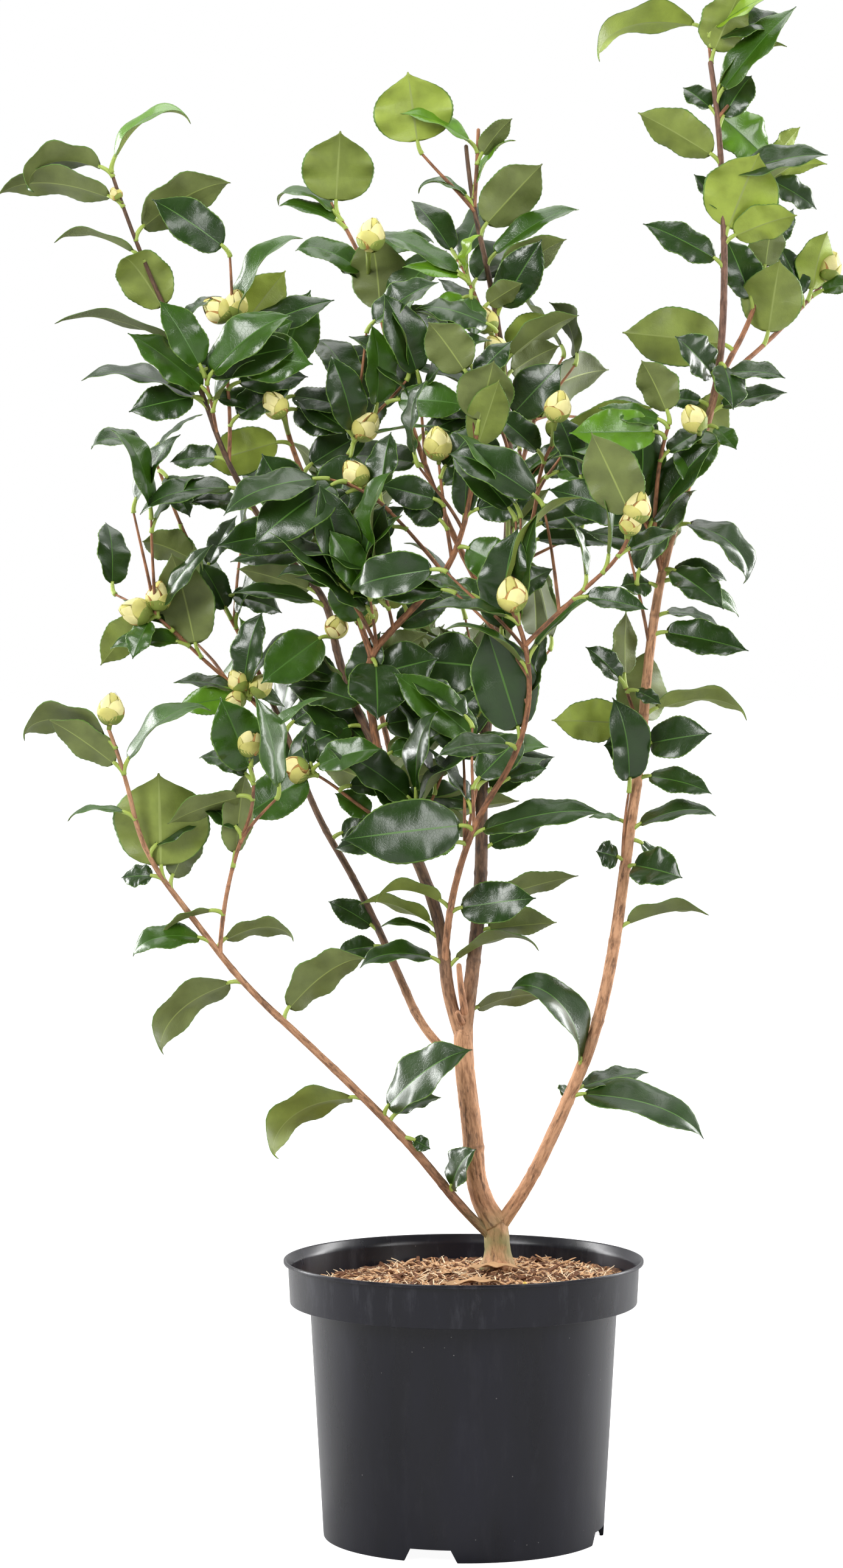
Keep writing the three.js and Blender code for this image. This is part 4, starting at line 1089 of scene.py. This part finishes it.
def leaf_points(length, wide, bend, fold, draw):
    """A leaf's points, across, along from its base to its tip and up, and its slope at the base."""
    t = np.linspace(0, 1, LEAF_STEPS + 1)
    half = wide * length / 2 * np.sin(np.pi * np.clip(t, 0.004, 0.996) ** 0.82) ** (0.5 + 0.95 * t**4)
    half = np.maximum(half, 0.5)
    turn = -np.radians(bend) * (0.8 * t**1.6 + 0.45 * t**7)
    along = np.concatenate([[0], np.cumsum(np.cos(turn[:-1]))]) * length / LEAF_STEPS
    rise = np.concatenate([[0], np.cumsum(np.sin(turn[:-1]))]) * length / LEAF_STEPS
    tip = math.atan2(rise[-1], along[-1])
    along, rise = (
        along * math.cos(tip) + rise * math.sin(tip), rise * math.cos(tip) - along * math.sin(tip))
    turn = turn - tip
    v = LEAF_COLUMNS[None, :]
    size = half[:, None]
    teeth = np.where(np.abs(v) == 1, TOOTH * (np.arange(LEAF_STEPS + 1) % 2)[:, None] * (size > 3), 0)
    opening = np.radians(fold) * (1 - 0.35 * t[:, None])
    x = v * (size + teeth) * np.cos(opening)
    phase, waves = draw.uniform(0, TURN, 2), draw.uniform(1.5, 3)
    wave = np.sin(waves * TURN * t[:, None] + np.where(v < 0, phase[0], phase[1]))
    lift = np.abs(v) * size * np.sin(opening) - draw.uniform(0.08, 0.3) * size * np.abs(v) ** 3
    lift = lift + WAVINESS * size * wave * v**2
    quilt = np.abs(np.sin(np.pi * (VEINS * t[:, None] - 1.5 * np.abs(v)))) * (1 - v**4)
    lift = lift + QUILTING * quilt * np.minimum(1, size / 9)
    lift = np.where(np.abs(v) < 0.1, -MIDRIB_DEPTH, lift)
    normal = np.stack([np.zeros_like(t), -np.sin(turn), np.cos(turn)], 1)[:, None]
    middle = np.stack([np.zeros_like(t), along, rise], 1)[:, None]
    top = middle + x[:, :, None] * np.array([1, 0, 0]) + lift[:, :, None] * normal
    rib = np.where(np.abs(v) < 0.1, RIB_HEIGHT * (1 - 0.7 * t[:, None]), 0)
    under = top - (LEAF_THICKNESS + rib)[:, :, None] * normal
    return np.concatenate([top.reshape(-1, 3), under[1:-1, 1:-1].reshape(-1, 3)]), turn[0]


def leaf_numbers(tint):
    """Each triangle's material: the tint of its side, the midrib of its side, or the pale edge."""
    numbers = np.where(LEAF_UNDER == 1, len(UPPER_TINTS) + tint, tint)
    middle = len(LEAF_COLUMNS) // 2 - 1
    numbers = np.where(LEAF_COLUMN == middle, MIDRIB_FINISH + LEAF_UNDER, numbers)
    edge = (LEAF_COLUMN == 0) | (LEAF_COLUMN == len(LEAF_COLUMNS) - 2)
    return np.where(edge, EDGE_FINISH, numbers)


def put_leaf(bundle, draw, limb, at, lean, length, face, back, wide, bend, tint):
    """One leaf and its stalk, from a point on a limb."""
    foot = spot(limb, at)
    ahead = heading(lean, back)
    front = np.array([0, -1, 0]) + ahead * ahead[1]
    front /= np.linalg.norm(front)
    over = np.cross(ahead, front)
    over = -over if over[2] < 0 else over
    up = np.sin(np.radians(face)) * front + np.cos(np.radians(face)) * over
    across = np.cross(ahead, up)
    fold = draw.uniform(*LEAF_FOLDS)
    points, slope = leaf_points(length, wide * LEAF_FULLNESS, bend * CURL, fold, draw)
    start_way = ahead * math.cos(slope) + up * math.sin(slope)
    stalk = STALK * (0.55 + 0.45 * length / 75)
    rise = 0.45 * limb_way(limb, at) + 0.75 * start_way
    base = foot + rise / np.linalg.norm(rise) * (stalk + RADII[limb][1])
    s = np.linspace(0, 1, 7)[:, None]
    first = foot + limb_way(limb, at) * stalk * 0.3
    second = base - start_way * stalk * 0.4
    route = (1 - s) ** 3 * foot + 3 * s * (1 - s) ** 2 * first + 3 * s**2 * (1 - s) * second
    route = route + s**3 * (base + start_way * 1.5)
    stem, stem_faces = tube(route, STALK_FOOT_RADIUS - STALK_TAPER * s, STALK_SIDES)
    bundle.gather(stem, stem_faces, STALK_FINISH)
    placed = base + points[:, :1] * across + points[:, 1:2] * ahead + points[:, 2:] * up
    bundle.gather(placed, LEAF_FACES, leaf_numbers(tint))


def leaf_side(name, colour, roughness, specular, gloss_spread, wax=0.0):
    """One side of a leaf: plain colour a little mottled, with the net of fine veins as a bump."""
    made, tree, shader = material(name)
    where = add(tree, "ShaderNodeTexCoord").outputs["Object"]
    mottle = add(tree, "ShaderNodeTexNoise", {"Vector": where, "Scale": 1 / (16 * MM), "Detail": 3.0})
    shade = add(tree, "ShaderNodeMapRange", {
        "Value": mottle.outputs["Fac"], "From Min": 0.3, "From Max": 0.7, "To Min": 0.82, "To Max": 1.2})
    tint = add(tree, "ShaderNodeHueSaturation", {"Value": shade.outputs[0], "Color": linear(colour)})
    tree.links.new(tint.outputs[0], shader.inputs["Base Color"])
    gloss = add(tree, "ShaderNodeMapRange", {
        "Value": mottle.outputs["Fac"], "From Min": 0.3, "From Max": 0.7,
        "To Min": roughness, "To Max": roughness + gloss_spread})
    tree.links.new(gloss.outputs[0], shader.inputs["Roughness"])
    net = add(tree, "ShaderNodeTexVoronoi", {"Vector": where, "Scale": 1 / (3.2 * MM)},
              feature="DISTANCE_TO_EDGE")
    groove = add(tree, "ShaderNodeMapRange", {"Value": net.outputs["Distance"], "From Max": 0.12})
    bump = add(tree, "ShaderNodeBump", {
        "Height": groove.outputs[0], "Strength": 0.35, "Distance": 0.12 * MM})
    tree.links.new(bump.outputs[0], shader.inputs["Normal"])
    shader.inputs["Specular IOR Level"].default_value = specular
    shader.inputs["Coat Weight"].default_value = wax
    shader.inputs["Coat Roughness"].default_value = 0.16
    return made


LEAF_FINISHES = [
    leaf_side(f"leaf_upper_side_{i}", tint, 0.27, 0.5, 0.12, 0.3) for i, tint in enumerate(UPPER_TINTS)]
LEAF_FINISHES += [
    leaf_side(f"leaf_under_side_{i}", tint, 0.42, 0.4, 0.12) for i, tint in enumerate(UNDER_TINTS)]
LEAF_FINISHES += [
    plain("midrib_upper", "4a7329", 0.4), plain("midrib_under", "8f9c52", 0.5),
    plain("leaf_edge", "5f8030", 0.45), plain("leaf_stalk", "9db04e", 0.45)]

MASSES = {name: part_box(name) for name in frame["nodes"] if name.startswith("mass_")}
leaf_bundles = {name: Bundle() for name in MASSES}


def nearest_mass(point):
    """The mass of foliage whose box holds a point or lies nearest to it."""
    def gap(name):
        low, high = (np.array(corner) / MM for corner in MASSES[name])
        outside = np.maximum(0, np.maximum(low - point, point - high))
        return np.linalg.norm(outside) + 0.1 * np.linalg.norm(point - (low + high) / 2)
    return min(MASSES, key=gap)


leaf_draw = np.random.default_rng(7)
for limb, rows in LEAVES.items():
    for row in rows:
        reach = spot(limb, row[0]) + heading(row[1], row[4]) * row[2] * 0.6
        put_leaf(leaf_bundles[nearest_mass(reach)], leaf_draw, limb, *row)

# The rest of the crown: in each mass, shoots grow from wood near by to where leaves are sparse,
# and leaves stand alternately along them, so that the crown is full from every side.

SHOOTS = {  # by how the name of the mass starts; the first that fits counts
    "mass_back_upper": 5, "mass_back": 9, "mass_centre_upper": 1, "mass_centre_top": 1,
    "mass_centre_left": 7, "mass_centre_low": 6, "mass_centre_right": 7, "mass_centre": 5,
    "mass_front_low": 5, "mass_right_middle": 4, "mass_left_upper": 3, "mass_left_middle": 3,
    "mass_left_side": 3, "mass_left_inner": 4, "mass_left_low_shoot": 1, "mass_right_low": 2}
GUESSES = 60
SHOOT_LENGTHS = (35, 85)
SHOOT_REACH = 45
UPWARD_CHOICE = 0.7  # how much a rise counts against a reach that does not fit
SHOOT_RADII = (1.6, 1.0)
LEAF_PLACES = (1.0, 0.86, 0.62, 0.38)
END_SPREAD = (12, 30)  # degrees between the shoot and its leaf, at its end and along its side
SIDE_SPREAD = (40, 68)
LEAF_LENGTHS = (55, 82)
BEHIND_MIDDLE = 6  # shoots aim at least so far behind the middle of their mass, where they can
BACK_OVERHANG = 8
BACK_LIMIT = CAD_BOX[1][1] / MM + BACK_OVERHANG


def inside_mass(name):
    """A test of whether a point, in millimetres, lies within a mass of foliage."""
    tree = BVHTree.FromObject(frame["nodes"][name], bpy.context.evaluated_depsgraph_get())

    def test(point):
        place, normal, _, _ = tree.find_nearest(Vector(np.asarray(point) * MM))
        return (Vector(np.asarray(point) * MM) - place).dot(normal) < 0
    return test


def turned_to(way):
    """The lean and the backward turn, in degrees, of a direction."""
    way = way / np.linalg.norm(way)
    return math.degrees(math.atan2(way[0], way[2])), math.degrees(math.asin(np.clip(way[1], -1, 1)))


def misfit(node, aim):
    """How badly a point on the wood suits a shoot that is to end at aim."""
    step = aim - node[2]
    return abs(np.linalg.norm(step) - SHOOT_REACH) - UPWARD_CHOICE * step[2]


wood = [(name, at, spot(name, at)) for name in WAYS if name not in ("trunk", "stem_centre")
        for at in np.arange(0.3, 1.01, 0.07)]
leaf_spots = [spot(limb, row[0]) + heading(row[1], row[4]) * row[2] * 0.5
              for limb, rows in LEAVES.items() for row in rows]
crown_draw = np.random.default_rng(11)
for name in MASSES:
    within = inside_mass(name)
    low, high = (np.array(corner) / MM for corner in MASSES[name])
    at_back = name.startswith("mass_back")
    shoots = next((count for start, count in SHOOTS.items() if name.startswith(start)), 0)
    for shoot in range(shoots):
        guesses = [p for p in crown_draw.uniform(low, high, (GUESSES, 3)) if within(p)]
        if not at_back:
            guesses = [p for p in guesses if p[1] > (low[1] + high[1]) / 2 + BEHIND_MIDDLE] or guesses
        aim = max(guesses, key=lambda p: min(np.linalg.norm(p - at_leaf) for at_leaf in leaf_spots))
        limb, at, foot = min(wood, key=lambda node: misfit(node, aim))
        length = float(np.clip(np.linalg.norm(aim - foot), *SHOOT_LENGTHS))
        lean, back = turned_to(aim - foot)
        title = f"shoot_{name}_{shoot}"
        leans = [lean * 0.7, lean, lean + crown_draw.uniform(-8, 8)]
        grow(title, limb, at, length, leans, [back * 0.8, back], *SHOOT_RADII)
        side = crown_draw.choice([-1, 1])
        borne = []
        for order, share in enumerate(LEAF_PLACES):
            side = -side
            reach = float(crown_draw.uniform(*LEAF_LENGTHS))
            spread = crown_draw.uniform(*(END_SPREAD if order == 0 else SIDE_SPREAD))
            leaf_lean = lean + side * spread
            leaf_back = float(np.clip(back + crown_draw.uniform(-30, 40), 0 if at_back else -15, 75))
            tip = spot(title, share) + heading(leaf_lean, leaf_back) * (reach + STALK)
            face = crown_draw.uniform(-70, 10) if at_back else crown_draw.uniform(10, 75)
            if within(tip - heading(leaf_lean, leaf_back) * 30) and tip[1] < BACK_LIMIT:
                wide, bend = crown_draw.uniform(0.4, 0.5), crown_draw.uniform(15, 60)
                tint = int(crown_draw.choice([0, 0, 0, 1]))
                borne.append((share, leaf_lean, reach, face, leaf_back, wide, bend, tint))
                leaf_spots.append(tip)
        if not borne:
            continue
        points, faces, grain, _ = limb_skin(title, False)
        twigs.gather(points, faces, 0, grain)
        if borne[0][0] < 1:
            borne[0] = (1.0,) + borne[0][1:]
        for row in borne:
            put_leaf(leaf_bundles[name], crown_draw, title, *row)

twig_piece = twigs.piece("twigs", [YOUNG_WOOD], grain=True)
for name, bundle in leaf_bundles.items():
    piece = bundle.piece(name.replace("mass_", "leaves_"), LEAF_FINISHES)
    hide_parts(name)

# ---- Flower buds --------------------------------------------------------------------------
# Fat pointed buds, still shut, at the tips and in the leaf axils. Silky overlapping scales wrap
# each one: green and small at its foot, pale cream-green above, brown along their dry edges.

BUD_SCALES = 11
BUD_TURN = 137.5  # degrees round from one scale to the next
BUD_SIZE = 0.92
BUD_FATNESS = 0.37
SPUR_TURN = -76  # degrees back from upright, so nearly straight to the front
SCALE_ROWS = 11
SCALE_COLUMNS = 9
SCALE_THICKNESS = 0.3
DRY_SHARE = 0.25
BUDS = {
    # how far up its limb, lean, length, how far back, and the length of its spur towards the front
    "twig_left_buds": [(1, -58, 28, -22), (0.98, 8, 26, -12)],
    "twig_left_end": [(1, 4, 24, 12)],
    "bough_left_upper": [(0.93, -38, 27, -18, 38)],
    "twig_inner_bud": [(1, 40, 29, -15)],
    "bough_centre_upper": [(0.81, 10, 31, -6, 50), (0.62, 175, 26, -40, 60)],
    "twig_top_inner": [(0.3, -24, 26, -12)],
    "stem_right_centre": [(0.735, -32, 27, -25, 34), (0.555, -18, 28, -30, 85)],
    "twig_centre_inner": [(1, -35, 28, 0)],
    "twig_centre_mid": [(1, -4, 30, -10)],
    "twig_right_inner": [(1, 14, 24, 12), (0.98, 12, 28, -15, 52)],
    "stem_right": [(0.68, -30, 27, -28, 44)],
    "bough_front_fork": [(1, 16, 28, -6), (0.93, 8, 22, -22)],
    "bough_front": [(0.955, -8, 32, -25)],
    "twig_left_outer": [(1, -80, 30, -16), (0.99, 6, 28, 0)],
    "bough_left_fork": [(0.62, 20, 25, -60)],
    "twig_left_lower": [(1, -32, 23, -6), (0.97, -105, 20, -30), (0.95, 46, 25, -8)],
    "bough_left_low_shoot": [(1, 0, 29, -10)],
    "twig_low_bud": [(1, -82, 31, -10)],
    "bough_left_low": [(1, 6, 28, 0)],
    "twig_right_tip": [(1, 22, 29, -4)],
    "stem_upper_left": [(0.93, -34, 12, -8)],
    "bough_back_low": [(1, -12, 26, 30)],
    "bough_back_left": [(1, 8, 28, 28), (0.8, 50, 24, 40)],
    "bough_back_upper": [(1, 10, 27, 34)],
    "bough_right_fork": [(1, 14, 24, 20)],
}


SCALE_FACES, scale_column = two_sided(SCALE_ROWS, SCALE_COLUMNS)
scale_row = np.tile(np.repeat(np.arange(SCALE_ROWS - 1), SCALE_COLUMNS - 1), 4)
SCALE_EDGE = (scale_column == 0) | (scale_column == SCALE_COLUMNS - 2) | (scale_row == SCALE_ROWS - 2)


def bud_girth(share, length):
    """A bud's radius at a share of its length."""
    return BUD_FATNESS * length * np.sin(np.pi * np.clip(share, 0.001, 0.999) ** 0.82) ** 0.72


def put_bud(bundle, draw, limb, at, lean, length, back, spur=0):
    """One shut bud: its stalk and spur, the core, and the scales wound round it."""
    length = length * BUD_SIZE
    foot = spot(limb, at)
    ahead = heading(lean, back)
    side = np.cross(ahead, [0, 1, 0])
    side /= np.linalg.norm(side)
    other = np.cross(ahead, side)
    reach = heading(0, SPUR_TURN) * spur
    base = foot + reach + ahead * (RADII[limb][1] + 1.5)
    route = np.array([foot, foot + reach * 0.7 + ahead * 3, base + ahead * 2])
    stem, stem_faces = tube(route, np.array([[1.8], [1.9], [2.6]]), 8)
    bundle.gather(stem, stem_faces, 0)
    share = np.linspace(0.02, 0.97, 12)
    core, core_faces = tube(
        base + ahead * share[:, None] * length, bud_girth(share, length)[:, None] * 0.93, 16)
    bundle.gather(core, core_faces, 1)
    start = draw.uniform(0, 360)
    w, u = np.meshgrid(
        np.linspace(0, 1, SCALE_ROWS), np.linspace(-1, 1, SCALE_COLUMNS), indexing="ij")
    for k in range(BUD_SCALES):
        foot_share, tip_share = 0.01 + 0.035 * k, min(1, 0.3 + 0.085 * k)
        half = np.radians(72 - 2.5 * k) * np.sqrt(np.clip(1 - w**2.6, 0, 1)) * np.minimum(1, 0.5 + 3 * w)
        height = foot_share + (tip_share - foot_share) * (w - 0.06 * u**2 * w)
        angle = np.radians(start + BUD_TURN * k) + u * half
        out = bud_girth(height, length) + 0.35 + 0.13 * (BUD_SCALES - k) * (1 - 0.6 * w) + 0.35 * w**6
        surface = []
        for gap in (0, SCALE_THICKNESS):
            r = out - gap
            ring = np.cos(angle)[..., None] * side + np.sin(angle)[..., None] * other
            surface.append(base + ring * r[..., None] + ahead * (height * length)[..., None])
        points = np.concatenate([surface[0].reshape(-1, 3), surface[1][1:-1, 1:-1].reshape(-1, 3)])
        body = 0 if k < 3 else 1 if k < 6 else 2
        edge = 3 if draw.random() < DRY_SHARE else body
        bundle.gather(points, SCALE_FACES[:, ::-1], np.where(SCALE_EDGE, edge, body))


buds = Bundle()
bud_draw = np.random.default_rng(5)
for limb, rows in BUDS.items():
    for row in rows:
        put_bud(buds, bud_draw, limb, *row)
bud_piece = buds.piece("flower_buds", [
    leaf_side("bud_scale_green", "84933f", 0.5, 0.4, 0.1),
    leaf_side("bud_scale_pale_green", "c9c26c", 0.5, 0.4, 0.1),
    leaf_side("bud_scale_cream", "e6dc98", 0.5, 0.4, 0.1),
    leaf_side("bud_scale_dry_edge", "ab7f45", 0.6, 0.3, 0.1)])

# ---- Fallen leaves and feed ---------------------------------------------------------------
# Two dry brown leaves lie on the compost by the foot of the trunk, a little curled, and one
# resin-coated pellet of feed lies on it too.

FALLEN_BEND = 30
FALLEN_FOLD = 14
FALLEN_LIFT = 3.5  # so that it lies on the chips
FALLEN = [
    # where its base lies, across and back, its bearing, its length and its width for that length
    (4, 8, 100, 42, 0.42), (-14, -30, 84, 48, 0.36),
]
fallen = Bundle()
fallen_draw = np.random.default_rng(3)
for x, y, bearing, length, wide in FALLEN:
    points, _ = leaf_points(length, wide, FALLEN_BEND, FALLEN_FOLD, fallen_draw)
    a = math.radians(bearing)
    ahead = np.array([math.sin(a), math.cos(a), 0])
    across = np.array([math.cos(a), -math.sin(a), 0])
    middle = np.array([x, y, 0]) + ahead * length / 2
    lie = float(compost_height(middle[:1], middle[1:2])[0]) + FALLEN_LIFT - points[:, 2].min()
    placed = np.array([x, y, lie]) + points[:, :1] * across + points[:, 1:2] * ahead
    placed[:, 2] += points[:, 2]
    fallen.gather(placed, LEAF_FACES, np.where(LEAF_UNDER == 1, 1, 0))
fallen_piece = fallen.piece("fallen_leaves", [
    leaf_side("dry_leaf_upper", "b9926a", 0.6, 0.3, 0.1),
    leaf_side("dry_leaf_under", "c9a57f", 0.7, 0.3, 0.1)])

PELLET_RADIUS = 1.8
PELLET_PLACE = (47, -30)
pellet_x, pellet_y = (np.array([float(place)]) for place in PELLET_PLACE)
pellet_z = float(compost_height(pellet_x, pellet_y)[0]) + 1.5 * PELLET_RADIUS
share = np.linspace(-0.97, 0.97, 9)
way = np.array([*PELLET_PLACE, pellet_z]) + np.array([0, 0, 1]) * share[:, None] * PELLET_RADIUS
pellet = Bundle()
pellet.gather(*tube(way, PELLET_RADIUS * np.sqrt(1 - share**2)[:, None], 14))
pellet_piece = pellet.piece("feed_pellet", [plain("resin_coated_feed", "d3b24a", 0.35)])

low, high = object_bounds()
